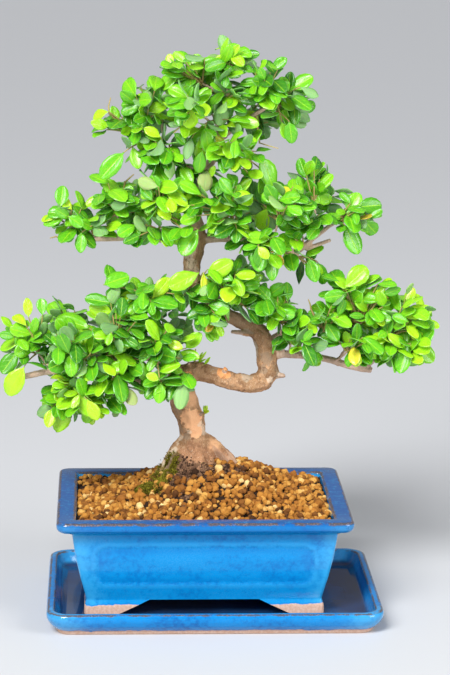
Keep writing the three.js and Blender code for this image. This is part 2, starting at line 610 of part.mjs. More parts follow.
/** Tries places for one leaf on a wall of its shoot and gives the first that is clear, or null. */
function growLeaf(wall, isLast, spray, random, neighbours, own) {
  const [x, y, z, reachX, reachY, reachZ] = spray;
  const reach = new THREE.Vector3(reachX, reachY, reachZ);
  const base = middleOf(wall.corners);
  const fromCentre = base.clone().sub(new THREE.Vector3(x, y, z)).divide(reach);
  const facing = y < TRUNK_PLANE_Y ? LEAF_LEAN.toFront : LEAF_LEAN.toBack;
  for (let attempt = 0; attempt < LEAF_TRIES; attempt += 1) {
    const loose = LEAF_LOOSENESS + attempt * LEAF_LOOSENING;
    const jitter = () => (random() - 0.5) * 2 * loose;
    const direction = wall.out.clone()
      .addScaledVector(wall.tangent, isLast ? LEAF_LEAN.atTip : LEAF_LEAN.along)
      .addScaledVector(fromCentre, LEAF_LEAN.outward)
      .add(new THREE.Vector3(jitter(), jitter(), jitter() - LEAF_LEAN.downward)
        .multiplyScalar(LEAF_LEAN.looseShare));
    const short = LEAF_LEAN.leastOut - direction.dot(wall.out);
    direction.addScaledVector(wall.out, Math.max(0, short)).normalize();
    const up = fromCentre.clone().add(new THREE.Vector3(jitter(), jitter() + facing, LEAF_LEAN.toSky));
    up.addScaledVector(direction, -up.dot(direction)).normalize();
    const across = up.clone().cross(direction);
    const shrink = 1 - attempt * LEAF_SHRINKING;
    const length = (LEAF_LENGTH + (random() - LEAF_SIZE_MIDDLE) * 2 * LEAF_LENGTH_SPREAD) * shrink;
    const width = length * (LEAF_WIDTH_SHARE + random() * LEAF_WIDTH_SPREAD);
    const leaf = { base, direction, up, across, length, width };
    const blade = bladeAlone(leaf);
    if (!neighbours.touches(blade)) {
      const geometry = leafFrom(wall.corners, leaf);
      const triangles = trianglesOf(geometry);
      if (!cross(triangles, triangles) && !cross(triangles, own)) {
        neighbours.add(blade);
        own.push(...triangles);
        return { wall, geometry };
      }
    }
  }
  return null;
}

/** Grows one spray: a shoot that carries on from its twig's end, with leaves all along it. */
function growSpray(order, twig, spray, neighbours) {
  const [, , , reachX, reachY, reachZ, leafCount] = spray;
  const random = seeded(SHOOT_SEED.first + order * SHOOT_SEED.step);
  const start = twig.end.clone().addScaledVector(twig.direction, TWIG_GAP);
  const past = new THREE.Vector3(reachX, reachY, reachZ).multiply(twig.direction);
  past.multiplyScalar(SHOOT_PAST_CENTRE);
  for (let attempt = 0; attempt < SHOOT_TRIES; attempt += 1) {
    const { across, up } = SHOOT_SWAY_MIDDLE;
    const sway = new THREE.Vector3(random() - across, random() - across, random() - up);
    sway.multiplyScalar(SHOOT_SWAY + attempt * SHOOT_SWAY_MORE);
    const tip = twig.centre.clone().add(past).add(sway);
    const middle = start.clone().lerp(tip, 0.5).addScaledVector(twig.direction, SHOOT_ARCH);
    const curve = new THREE.CatmullRomCurve3([start, middle, tip]);
    const rings = shootRings(curve, leafCount, random() * 2 * Math.PI);
    const shoot = sleeve(rings);
    const solid = toSolid(shoot);
    if (!neighbours.touches(solid, SHOOT_CLEARANCE)) {
      neighbours.add(solid);
      const own = trianglesOf(shoot);
      const leaves = [];
      for (let joint = leafCount; joint > 0; joint -= 1) {
        const wall = wallAt(rings, joint, joint % SHOOT_SIDES);
        leaves.push(growLeaf(wall, joint === leafCount, spray, random, neighbours, own));
      }
      return leafyShoot(rings, leaves.filter((leaf) => leaf !== null));
    }
  }
  throw new Error('a shoot found no clear path');
}

/** Grows the trunk with all its limbs and twigs, and a spray at every twig's end. */
function growTree() {
  const buds = budPoints();
  const limbs = [
    limb(TRUNK, 8, 0, 0.14),
    ...Object.values(BRANCHES).map((path) => limb(path, 5, 0, 0.1)),
    ...STUBS.map((stub) => limb(stub, 4)),
  ];
  const neighbours = new Neighbours();
  limbs.forEach((solid) => neighbours.add(solid));
  const twigs = new Map(Object.entries(SPRAYS).map(([name, spray]) => [name, twigFor(spray, buds)]));
  for (const { start, middle, end } of twigs.values()) {
    const path = [start, middle, end].map((at, i) => [...at.toArray(), TWIG_RADIUS * TWIG_TAPER[i]]);
    const twig = limb(path, SHOOT_SIDES);
    neighbours.add(twig);
    limbs.push(twig);
  }
  const sprays = new Map();
  for (const [name, twig] of twigs) {
    sprays.set(name, growSpray(sprays.size, twig, SPRAYS[name], neighbours));
  }
  return { trunk: finished(fuse([rootSystem(0), ...limbs])), sprays };
}

/** A named mesh with its own material. */
function part(name, solid, colour, roughness) {
  const material = new THREE.MeshStandardMaterial({ color: colour, roughness, metalness: 0 });
  const mesh = new THREE.Mesh(toGeometry(solid), material);
  mesh.name = name;
  return mesh;
}

const bonsai = new THREE.Group();
bonsai.name = 'sweet_plum_bonsai';
bonsai.add(part('drip_tray', rectangularTurning({
  halfX: TRAY_HALF_X, halfY: TRAY_HALF_Y, corner: TRAY_CORNER, section: TRAY_SECTION,
}), COLOURS.trayGlaze, 0.2));
bonsai.add(part('pot', makePot(), COLOURS.clayGlaze, 0.2));
bonsai.add(part('soil', makeSoil(rootSystem(SOIL_GAP)), COLOURS.soil, 0.95));
const tree = growTree();
bonsai.add(part('trunk', tree.trunk, COLOURS.bark, 0.85));
let sprayOrder = 0;
for (const [name, solid] of tree.sprays) {
  bonsai.add(part(name, solid, COLOURS.leaves[sprayOrder % COLOURS.leaves.length], 0.45));
  sprayOrder += 1;
}

export default bonsai;
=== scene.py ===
"""Sweet plum bonsai in a blue glazed pot on its drip tray: the looks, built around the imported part.

Sizes in the classes are millimetres in the part's own frame: the origin is the centre of the tray's
flat base, +X points right, +Y away from the viewer and +Z up. A finished mesh is scaled to metres.
"""

import itertools
import logging
import math
import random
from collections.abc import Callable, Iterable, Sequence
from dataclasses import dataclass, field
from enum import Enum

import bmesh
import bpy
import numpy as np
from mathutils import Matrix, Quaternion, Vector, noise
from mathutils.bvhtree import BVHTree
from mathutils.kdtree import KDTree


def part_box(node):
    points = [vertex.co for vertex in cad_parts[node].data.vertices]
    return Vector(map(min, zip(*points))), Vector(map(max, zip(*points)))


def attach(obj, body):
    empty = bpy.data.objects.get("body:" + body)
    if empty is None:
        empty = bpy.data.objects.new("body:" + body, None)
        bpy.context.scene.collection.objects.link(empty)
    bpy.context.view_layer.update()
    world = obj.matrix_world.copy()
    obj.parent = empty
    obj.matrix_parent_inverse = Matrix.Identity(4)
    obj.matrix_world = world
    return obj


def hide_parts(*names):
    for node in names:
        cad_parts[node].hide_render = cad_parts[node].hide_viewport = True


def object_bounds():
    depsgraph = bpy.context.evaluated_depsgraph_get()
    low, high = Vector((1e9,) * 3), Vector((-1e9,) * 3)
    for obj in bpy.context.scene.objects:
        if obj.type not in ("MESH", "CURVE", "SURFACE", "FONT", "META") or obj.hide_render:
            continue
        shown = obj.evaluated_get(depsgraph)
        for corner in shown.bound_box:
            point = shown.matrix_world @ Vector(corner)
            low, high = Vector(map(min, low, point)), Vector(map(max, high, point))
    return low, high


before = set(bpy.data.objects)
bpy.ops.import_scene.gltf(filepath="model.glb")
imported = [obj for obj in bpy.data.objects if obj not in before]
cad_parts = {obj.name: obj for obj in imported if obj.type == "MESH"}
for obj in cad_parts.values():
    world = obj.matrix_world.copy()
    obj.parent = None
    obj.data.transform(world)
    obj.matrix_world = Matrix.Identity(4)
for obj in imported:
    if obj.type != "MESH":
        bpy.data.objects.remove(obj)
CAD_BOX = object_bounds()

log = logging.getLogger("bonsai")

MM = 0.001
UP = Vector((0, 0, 1))
GOLDEN_ANGLE = math.pi * (3 - math.sqrt(5))
GLAZE_SHARP_DEG = 40.0
GRAIN_SHARP_DEG = 50.0
STEM_POINTS = 7
SMALL_LOBE_LOOSENESS = 1.3
Colour = tuple[float, float, float]
Point = tuple[float, float, float]
Place = tuple[Vector, float]


def nearness(point: Vector, places: Iterable[Place]) -> float:
    """How deep a point lies in any of some round places, from 0 outside to 1 at a middle."""
    return max((max(0.0, 1 - (point - centre).length / reach) for centre, reach in places), default=0.0)


def rounds(*places: tuple[float, float, float, float]) -> tuple[Place, ...]:
    """Round places, each from the x, y and z of its middle and its reach."""
    return tuple((Vector(place[:3]), place[3]) for place in places)


def random_step(rng: random.Random, reach: float) -> Vector:
    """A random step of up to reach along each axis."""
    return Vector([rng.uniform(-reach, reach) for _ in range(3)])


def put(name: str, data: bpy.types.ID) -> bpy.types.Object:
    """Makes an object and puts it in the scene.

    Args:
        name: The object's name.
        data: Its mesh, curve, camera or light.

    Returns:
        The object.
    """
    made = bpy.data.objects.new(name, data)
    bpy.context.scene.collection.objects.link(made)
    return made


class Slot(Enum):
    """The record's material slots."""

    TRAY = "tray_glaze"
    POT = "pot_glaze"
    SOIL = "akadama_soil"
    BARK = "bark"
    FOLIAGE = "foliage"


class Value:
    """A socket of a material's graph that takes part in plain arithmetic."""

    def __init__(self, graph: "Graph", socket: bpy.types.NodeSocket) -> None:
        """Wraps a socket of a graph."""
        self.graph = graph
        self.socket = socket

    def __add__(self, other: "Value | float") -> "Value":
        """Adds."""
        return self.graph.maths("ADD", self, other)

    def __sub__(self, other: "Value | float") -> "Value":
        """Subtracts."""
        return self.graph.maths("SUBTRACT", self, other)

    def __rsub__(self, other: "Value | float") -> "Value":
        """Subtracts this from a number."""
        return self.graph.maths("SUBTRACT", other, self)

    def __mul__(self, other: "Value | float") -> "Value":
        """Multiplies."""
        return self.graph.maths("MULTIPLY", self, other)

    def __abs__(self) -> "Value":
        """The size of the value without its sign."""
        return self.graph.maths("ABSOLUTE", self)

    __radd__ = __add__
    __rmul__ = __mul__

    def fraction(self) -> "Value":
        """What is left of the value past its whole part."""
        return self.graph.maths("FRACT", self)


class Graph:
    """A material's node graph, made one node at a time."""

    def __init__(self, name: str) -> None:
        """Starts a material with an empty graph.

        Args:
            name: The material's name.
        """
        self.material = bpy.data.materials.new(name)
        self.material.use_nodes = True
        self.tree = self.material.node_tree
        self.tree.nodes.clear()

    def node(self, kind: str, settings: dict | None = None, sockets: dict | None = None) -> bpy.types.Node:
        """Makes any node.

        Args:
            kind: The node's type.
            settings: Its properties, set first. A ramp's stops are given as "stops".
            sockets: Values or links for its inputs, by name or number.

        Returns:
            The node.
        """
        made = self.tree.nodes.new(kind)
        for name, value in (settings or {}).items():
            if name == "stops":
                self._set_stops(made.color_ramp, value)
            else:
                setattr(made, name, value)
        for key, value in (sockets or {}).items():
            if isinstance(value, Value):
                self.tree.links.new(value.socket, made.inputs[key])
            else:
                made.inputs[key].default_value = value
        return made

    @staticmethod
    def _set_stops(ramp: bpy.types.ColorRamp, stops: Sequence[tuple[float, Colour]]) -> None:
        """Gives a colour ramp its stops.

        Args:
            ramp: The ramp.
            stops: Each stop's place, from 0 to 1, and its colour.
        """
        while len(ramp.elements) < len(stops):
            ramp.elements.new(1)
        for element, (place, colour) in zip(ramp.elements, stops):
            element.position = place
            element.color = (*colour, 1)

    def value(self, kind: str, output: int | str = 0, settings: dict | None = None,
              sockets: dict | None = None) -> Value:
        """Makes a node and gives one of its outputs."""
        return Value(self, self.node(kind, settings, sockets).outputs[output])

    def maths(self, operation: str, *values: Value | float) -> Value:
        """A Math node on one or two values."""
        return self.value("ShaderNodeMath", 0, {"operation": operation}, dict(enumerate(values)))

    def mix(self, factor: Value | float, low: Value | Colour, high: Value | Colour) -> Value:
        """Blends two colours, from low at 0 to high at 1."""
        low, high = ((*c, 1) if isinstance(c, tuple) else c for c in (low, high))
        return self.value("ShaderNodeMix", 2, {"data_type": "RGBA"}, {0: factor, 6: low, 7: high})

    def ramp(self, value: Value, stops: Sequence[tuple[float, Colour]]) -> Value:
        """Turns a value into a colour by a ramp."""
        return self.value("ShaderNodeValToRGB", settings={"stops": stops}, sockets={0: value})

    def step(self, value: Value, low: float, high: float) -> Value:
        """A mask that rises or falls smoothly from 0 to 1.

        Args:
            value: What the mask follows.
            low: Where the mask is 0.
            high: Where it is 1, above or below low.

        Returns:
            The mask.
        """
        start, end = (0.0, 1.0) if low < high else (1.0, 0.0)
        low, high = sorted((low, high))
        return self.value("ShaderNodeMapRange", settings={"interpolation_type": "SMOOTHSTEP"},
                          sockets={0: value, 1: low, 2: high, 3: start, 4: end})

    def place(self) -> Value:
        """The point on the object, in metres."""
        return self.value("ShaderNodeTexCoord", "Object")

    def axis(self, vector: Value, axis: str) -> Value:
        """One axis of a vector."""
        return self.value("ShaderNodeSeparateXYZ", axis, sockets={0: vector})

    def attribute(self, name: str) -> Value:
        """A number that the piece's own mesh carries at each vertex."""
        return self.value("ShaderNodeAttribute", "Fac", {"attribute_name": name})

    def mark(self, name: str, low: float, high: float, *rough: Value) -> Value:
        """A mask from a number that the mesh carries, with an edge that noises break up."""
        return self.step(sum(rough, self.attribute(name)), low, high)

    def stretched(self, vector: Value, scale: Point) -> Value:
        """A vector with its axes scaled."""
        return self.value("ShaderNodeMapping", sockets={"Vector": vector, "Scale": scale})

    def noise(self, vector: Value, size_mm: float, detail: float = 2.0, roughness: float = 0.5) -> Value:
        """Soft noise with features about size_mm across, around one half."""
        return self.value("ShaderNodeTexNoise", 0, sockets={
            "Vector": vector, "Scale": 1 / (size_mm * MM), "Detail": detail, "Roughness": roughness})

    def bump(self, height: Value, depth_mm: float, strength: float = 1.0) -> Value:
        """A normal bumped by a height from 0 to 1 that is depth_mm deep."""
        return self.value("ShaderNodeBump", sockets={
            "Height": height, "Distance": depth_mm * MM, "Strength": strength})

    def surface(self, sockets: dict) -> bpy.types.Material:
        """Closes the graph with one principled shader.

        Args:
            sockets: Values or links for the shader's inputs, by name.

        Returns:
            The material.
        """
        shader = self.node("ShaderNodeBsdfPrincipled", sockets=sockets)
        output = self.node("ShaderNodeOutputMaterial")
        self.tree.links.new(shader.outputs[0], output.inputs[0])
        return self.material


@dataclass(frozen=True)
class Panel:
    """A shallow panel sunk in each wall of the pot: its middle and its half sizes."""

    middle: Point
    half: Point
    corner: float = 9.0


@dataclass(frozen=True)
class Glaze:
    """Blue glaze over buff clay: speckled, darker where it pools, with the tray's floor painted near black
    for the shade under the pot, thin on edges, none on the feet.
    """

    name: str
    body: Colour
    deep: Colour
    pale: Colour
    bare_below: float
    edges: tuple[tuple[float, float], ...]
    lip: tuple[float, float] | None = None
    pool_and_shade_below: float = 0.0
    pool_and_shade_inset: float = 0.0
    edge_width: float = 1.25
    panel: Panel | None = None
    clay: Colour = (0.5, 0.31, 0.23)
    clay_pale: Colour = (0.62, 0.44, 0.35)
    rust: Colour = (0.08, 0.055, 0.03)
    lip_blue: Colour = (0.006, 0.075, 0.29)
    pool_and_shade: Colour = (0.012, 0.018, 0.06)

    def make(self) -> bpy.types.Material:
        """Builds the material.

        Returns:
            The material.
        """
        g = Graph(self.name)
        place = g.place()
        z = g.axis(place, "Z")
        inset = g.attribute("inset")
        corner = g.attribute("corner")
        clouds = g.noise(g.stretched(place, (0.6, 0.6, 1.2)), 30, 3, 0.5)
        mottle = g.noise(place, 4.0, 4, 0.65)
        specks = g.noise(place, 0.9, 2, 0.6)
        colour = g.mix(g.step(clouds * 0.45 + mottle * 0.55, 0.32, 0.56), self.deep, self.body)
        colour = g.mix(g.step(clouds * 0.3 + specks * 0.7, 0.5, 0.7) * 0.4, colour, self.pale)
        colour = g.mix(g.step(specks, 0.56, 0.72) * 0.5, colour, self.deep)
        raised: Value | float = 0.0
        if self.panel is not None:
            outside = self._outside_panel(g, place) + (mottle - 0.5) * 3
            raised = g.step(outside, -3.0, 1.0)
            colour = self._panelled(g, colour, outside)
        colour = g.mix(g.step(corner + (mottle - 0.5) * 0.8, 0.5, 1.1) * 0.55, colour, self.pale)
        if self.lip is not None:
            colour = self._lipped(g, colour, inset, z, mottle, specks)
        # The tray's floor: pooled glaze, darkened to near black as painted shade under the pot.
        if self.pool_and_shade_below:
            pooled_and_shaded = g.step(z, (self.pool_and_shade_below + 3) * MM, self.pool_and_shade_below * MM)
            pooled_and_shaded = pooled_and_shaded * g.step(inset, self.pool_and_shade_inset - 4, self.pool_and_shade_inset)
            puddle_and_shade = g.mix(g.step(clouds, 0.45, 0.75) * 0.3, self.pool_and_shade, self.deep)
            colour = g.mix(pooled_and_shaded * 0.95, colour, puddle_and_shade)
        broken = self._edge_mask(g, inset, z, mottle) * g.step(g.noise(place, 9, 3, 0.6), 0.3, 0.5)
        thin = g.mix(g.step(specks, 0.5, 0.7) * 0.45, self.rust, self.clay)
        colour = g.mix(broken * 0.85, colour, thin)
        edge = z + (g.noise(place, 8, 3, 0.55) - 0.5) * 0.004
        bare = g.step(edge, (self.bare_below + 0.3) * MM, (self.bare_below - 0.3) * MM)
        rim = g.step(edge, (self.bare_below + 1.6) * MM, self.bare_below * MM) * (1 - bare)
        colour = g.mix(rim * 0.6, colour, self.deep)
        clay = g.mix(g.step(g.noise(place, 1.8, 4, 0.7), 0.35, 0.7), self.clay, self.clay_pale)
        colour = g.mix(bare, colour, clay)
        skin = g.noise(place, 14, 2, 0.4) * 0.8 + specks * 0.04 * (1 - bare) + raised * 2.2
        skin = skin + g.noise(place, 0.8, 3, 0.7) * bare * 0.6
        return g.surface({
            "Base Color": colour,
            "Roughness": 0.16 + bare * 0.6 + broken * 0.16 + g.step(mottle, 0.5, 0.8) * 0.06,
            "Normal": g.bump(skin, 0.5, 0.5),
            "Specular IOR Level": 0.2,
            "Coat Roughness": 0.05,
            "Coat Weight": (1 - bare) * (corner * 0.5 + 0.12),
        })

    def _panelled(self, g: Graph, colour: Value, outside: Value) -> Value:
        """Darkens the foot of the sunk panels' edges and pales their crests.

        Args:
            g: The material's graph.
            colour: The glaze's colour so far.
            outside: How far outside the panels a point lies.

        Returns:
            The new colour.
        """
        sunk_edge = g.step(outside, -1.0, -3.5) * g.step(outside, -8.0, -3.5)
        colour = g.mix(sunk_edge * 0.32, colour, self.deep)
        return g.mix(g.step(abs(outside - 1.0), 2.4, 0.4) * 0.22, colour, self.pale)

    def _lipped(self, g: Graph, colour: Value, inset: Value, z: Value, mottle: Value,
                specks: Value) -> Value:
        """Lays the lip's darker blue on its top and its front.

        Args:
            g: The material's graph.
            colour: The glaze's colour so far.
            inset: How far inside the widest outline a point lies.
            z: Its height, in metres.
            mottle: The glaze's coarse noise.
            specks: Its fine noise.

        Returns:
            The new colour.
        """
        low, high = self.lip
        on_lip = g.step(z + (mottle - 0.5) * 0.002, low * MM, high * MM)
        worn = g.step(mottle * 0.6 + specks * 0.4, 0.5, 0.64)
        on_front = g.step(inset, 3.0, 1.2) * g.step(z, (low - 5) * MM, (low - 3.4) * MM)
        colour = g.mix(on_front * (0.5 + worn * 0.3), colour, self.lip_blue)
        return g.mix(on_lip * 0.9, colour, g.mix(worn * 0.3, self.lip_blue, self.pale))

    def _outside_panel(self, g: Graph, place: Value) -> Value:
        """How far outside the sunk panels a point lies.

        Args:
            g: The material's graph.
            place: The point.

        Returns:
            The distance in millimetres, below 0 on a panel.
        """
        along_x, along_y, up = (
            abs(g.axis(place, axis) * (1 / MM) - middle) - half
            for axis, middle, half in zip("XYZ", self.panel.middle, self.panel.half))
        along = g.maths("MAXIMUM", g.maths("MINIMUM", along_x, along_y) + self.panel.corner, 0.0)
        up = g.maths("MAXIMUM", up + self.panel.corner, 0.0)
        return g.maths("SQRT", along * along + up * up) - self.panel.corner

    def _edge_mask(self, g: Graph, inset: Value, z: Value, mottle: Value) -> Value:
        """Where the glaze is thin: narrow uneven lines along the edges.

        Args:
            g: The material's graph.
            inset: How far inside the widest outline a point lies.
            z: Its height, in metres.
            mottle: The noise that makes the lines uneven.

        Returns:
            The mask.
        """
        total: Value | float = 0.0
        for edge_inset, edge_z in self.edges:
            across = inset - edge_inset
            along = z * (1 / MM) - edge_z
            distance = g.maths("SQRT", across * across + along * along)
            total = g.step(distance + (mottle - 0.5) * 2.6, self.edge_width, self.edge_width * 0.4) + total
        return g.maths("MINIMUM", total, 1.0)


@dataclass(frozen=True)
class Bark:
    """Thin bark: tan with paler and darker flakes, peach and cream where it has peeled, and painted darker
    on the root flare for the shade under the crown.
    """

    tan: Colour = (0.27, 0.135, 0.058)
    buff: Colour = (0.415, 0.235, 0.118)
    # The root flare's two tones, darker than the bark above: painted shade under the crown.
    root: Colour = (0.42, 0.21, 0.105)
    root_shade_dark: Colour = (0.25, 0.12, 0.058)
    peach: Colour = (1.0, 0.55, 0.29)
    rust: Colour = (0.85, 0.37, 0.14)
    cream: Colour = (0.88, 0.74, 0.57)
    grey: Colour = (0.34, 0.25, 0.17)
    dark: Colour = (0.12, 0.06, 0.03)
    twig: Colour = (0.55, 0.38, 0.27)
    twig_pale: Colour = (0.68, 0.5, 0.38)
    moss: Colour = (0.13, 0.115, 0.018)
    soil: Colour = (0.12, 0.062, 0.035)
    crack: Colour = (0.2, 0.085, 0.04)

    def make(self) -> bpy.types.Material:
        """Builds the material.

        Returns:
            The material.
        """
        g = Graph("thin_bark")
        place = g.place()
        plate = g.attribute("plate")
        stout = g.step(g.attribute("girth"), 5, 11)
        grain = g.noise(g.stretched(place, (1, 1, 0.5)), 1.7, 5, 0.7)
        cloud = g.noise(place, 11, 4, 0.62)
        fine = g.noise(place, 0.6, 3, 0.7)
        ragged = g.noise(place, 2.6, 4, 0.65) - 0.5
        flakes = g.mix(g.step(cloud * 0.6 + grain * 0.4, 0.38, 0.62), self.tan, self.buff)
        under = g.mix(g.step(cloud * 0.7 + grain * 0.3, 0.44, 0.66) * 0.42, self.buff, self.peach)
        colour = g.mix(g.step(plate + ragged * 0.3, 0.4, 0.6), under, flakes)
        streak = g.noise(g.stretched(place, (1, 1, 0.4)), 1.1, 4, 0.75)
        colour = g.mix(g.step(streak, 0.55, 0.68) * 0.58, colour, self.dark)
        colour = g.mix(g.step(streak, 0.44, 0.34) * 0.3, colour, self.cream)
        flushed = g.mark("flushed", 0.05, 0.75, ragged * 0.6)
        # The root flare is painted darker over its peach and buff: painted shade under the crown.
        root = g.mark("root", 0.16, 0.36, (cloud - 0.5) * 0.8, ragged * 0.3)
        skin = g.mix(g.step(cloud * 0.4 + streak * 0.6, 0.42, 0.6), self.root, self.root_shade_dark)
        colour = g.mix(root * 0.92, colour, skin)
        speckle = g.noise(g.stretched(place, (1, 1, 0.7)), 0.85, 4, 0.7)
        colour = g.mix(g.step(speckle, 0.57, 0.68) * 0.4, colour, self.dark)
        colour = g.mix(g.step(speckle, 0.43, 0.33) * 0.35, colour, self.cream)
        colour = g.mix(flushed * 0.5, colour, self.peach)
        green = g.mark("mossy", 0.3, 0.6, ragged * 1.3, (fine - 0.5) * 0.7)
        colour = g.mix(green * 0.7, colour, self.moss)
        soiled = g.mark("soiled", 0.3, 0.55, ragged * 1.4, (fine - 0.5) * 0.8)
        colour = g.mix(soiled * 0.85, colour, self.soil)
        peeled = g.mark("peeled", 0.26, 0.36, ragged * 0.7, (cloud - 0.5) * 0.8)
        colour = g.mix(peeled * 0.95, colour, g.mix(g.step(fine, 0.4, 0.8) * 0.3, self.peach, self.buff))
        pale = g.mark("pale", 0.32, 0.6, ragged * 1.5, (cloud - 0.5) * 1.3)
        colour = g.mix(pale * (0.8 - streak * 0.65), colour, self.cream)
        grey = g.mark("grey", 0.3, 0.6, ragged * 1.3, (cloud - 0.5) * 0.8)
        colour = g.mix(grey * 0.6, colour, self.grey)
        colour = g.mix(g.mark("orange", 0.25, 0.32, ragged * 0.25) * 0.95, colour, self.rust)
        crease = g.step(abs(plate + ragged * 0.3 - 0.5), 0.07, 0.015) * g.step(cloud, 0.44, 0.6)
        colour = g.mix(crease * (1 - peeled) * 0.55, colour, self.dark)
        pitted = g.step(fine * 0.5 + grain * 0.5, 0.56, 0.72)
        colour = g.mix(pitted * (0.4 - peeled * 0.28), colour, self.dark)
        cracked = g.mark("cracked", 0.35, 0.75, ragged * 1.1)
        colour = g.mix(cracked * 0.7, colour, self.crack)
        colour = g.mix(1 - stout, colour, g.mix(g.step(grain, 0.4, 0.65), self.twig, self.twig_pale))
        return g.surface({
            "Base Color": colour,
            "Roughness": 0.6 + fine * 0.3,
            "Specular IOR Level": 0.3,
            "Normal": g.bump(grain * 0.55 + fine * 0.25 + cloud * 0.4, 0.7, 0.8),
        })


@dataclass(frozen=True)
class LeafSkin:
    """A glossy leaf: its green by age, with a pale midrib, side veins and a paler underside."""

    dark: Colour = (0.038, 0.215, 0.008)
    green: Colour = (0.128, 0.48, 0.013)
    fresh: Colour = (0.275, 0.655, 0.013)
    lime: Colour = (0.47, 0.8, 0.02)
    underside: Colour = (0.24, 0.4, 0.19)
    yellow: Colour = (0.68, 0.6, 0.04)
    brown: Colour = (0.45, 0.17, 0.03)
    pairs_of_veins: float = 6.0

    def make(self) -> bpy.types.Material:
        """Builds the material.

        Returns:
            The material.
        """
        g = Graph("glossy_leaf")
        place = g.place()
        uv = g.value("ShaderNodeUVMap", settings={"uv_map": "UVMap"})
        across = abs(g.axis(uv, "X") - 0.5) * 2
        along = g.axis(uv, "Y")
        age = g.attribute("age")
        under = g.attribute("under")
        blotch = g.noise(place, 6, 2, 0.5)
        colour = g.ramp(age + (blotch - 0.5) * 0.12, [
            (0.0, self.dark), (0.28, self.green), (0.5, self.fresh), (0.7, self.lime), (0.86, self.yellow),
            (1.0, self.brown)])
        rib = g.step(across, 0.1, 0.02)
        lean = (along * self.pairs_of_veins - across * 1.15).fraction()
        vein = g.step(abs(lean - 0.5), 0.1, 0.02) * g.step(across, 0.95, 0.6)
        colour = g.mix(rib * 0.5, colour, self.lime)
        colour = g.mix(vein * 0.16, colour, self.lime)
        colour = g.mix(under * 0.72, colour, self.underside)
        height = 0.5 - rib * 0.45 - vein * 0.2 + g.noise(place, 1.4, 2) * 0.12
        return g.surface({
            "Base Color": colour,
            "Roughness": 0.22 + under * 0.25 + blotch * 0.12,
            "Specular IOR Level": 0.55,
            "Normal": g.bump(height, 0.35, 0.6),
            "Subsurface Weight": 0.32,
            "Subsurface Radius": (0.5, 1.0, 0.12),
            "Subsurface Scale": 0.0012,
        })


@dataclass(frozen=True)
class YoungStem:
    """The thin green to tan skin of a leafy shoot."""

    green: Colour = (0.33, 0.4, 0.04)
    tan: Colour = (0.5, 0.3, 0.15)

    def make(self) -> bpy.types.Material:
        """Builds the material.

        Returns:
            The material.
        """
        g = Graph("young_stem")
        place = g.place()
        age = g.attribute("age")
        grain = g.noise(place, 1.2, 3, 0.6)
        colour = g.mix(g.step(age + (grain - 0.5) * 0.4, 0.3, 0.6), self.tan, self.green)
        return g.surface({
            "Base Color": colour, "Roughness": 0.5 + grain * 0.2, "Normal": g.bump(grain, 0.2, 0.5)})


@dataclass(frozen=True)
class Granules:
    """Baked clay granules, each with a tone of its own from dark through ochre to cream."""

    name: str
    stops: tuple[tuple[float, Colour], ...]
    shine: float = 0.2

    def make(self) -> bpy.types.Material:
        """Builds the material.

        Returns:
            The material.
        """
        g = Graph(self.name)
        place = g.place()
        pits = g.noise(place, 0.8, 3, 0.7)
        stain = g.noise(place, 2.4, 2, 0.6)
        tone = g.attribute("tone") + (stain - 0.5) * 0.22
        colour = g.mix(g.step(pits, 0.45, 0.3) * 0.4, g.ramp(tone, self.stops), self.stops[0][1])
        return g.surface({
            "Base Color": colour, "Roughness": 0.85 + pits * 0.12, "Specular IOR Level": self.shine,
            "Normal": g.bump(pits, 0.35, 0.8)})


AKADAMA = Granules("akadama", (
    (0.0, (0.035, 0.015, 0.007)), (0.16, (0.13, 0.048, 0.012)), (0.38, (0.3, 0.115, 0.021)),
    (0.6, (0.46, 0.195, 0.032)), (0.82, (0.62, 0.33, 0.075)), (1.0, (0.82, 0.6, 0.26))))
HUMUS = Granules("humus", (
    (0.0, (0.03, 0.015, 0.009)), (0.6, (0.12, 0.06, 0.034)), (1.0, (0.27, 0.15, 0.08))))
# The packed soil under the granules: near-black, painted shade for the gaps between them.
SHADED_SOIL_BED = Granules("soil_bed_painted_shade", ((0.0, (0.025, 0.013, 0.008)), (1.0, (0.1, 0.05, 0.022))))
MOSS = Granules("moss", (
    (0.0, (0.045, 0.036, 0.006)), (0.5, (0.16, 0.14, 0.013)), (1.0, (0.35, 0.32, 0.03))), 0.1)


def read_shape(mesh: bpy.types.Mesh) -> dict[str, np.ndarray]:
    """Reads a small shape.

    Args:
        mesh: The shape.

    Returns:
        Its points, the corners and sizes of its faces, its UVs and its underside marks, as arrays.
    """
    count = len(mesh.vertices)
    points = np.empty(count * 3)
    mesh.vertices.foreach_get("co", points)
    corners = np.empty(len(mesh.loops), dtype=np.int64)
    mesh.loops.foreach_get("vertex_index", corners)
    sizes = np.empty(len(mesh.polygons), dtype=np.int64)
    mesh.polygons.foreach_get("loop_total", sizes)
    uvs = np.zeros(len(mesh.loops) * 2)
    if mesh.uv_layers:
        mesh.uv_layers[0].uv.foreach_get("vector", uvs)
    under = np.zeros(count)
    if "under" in mesh.attributes:
        mesh.attributes["under"].data.foreach_get("value", under)
    return {"points": points.reshape(-1, 3), "corners": corners, "sizes": sizes, "uvs": uvs, "under": under}


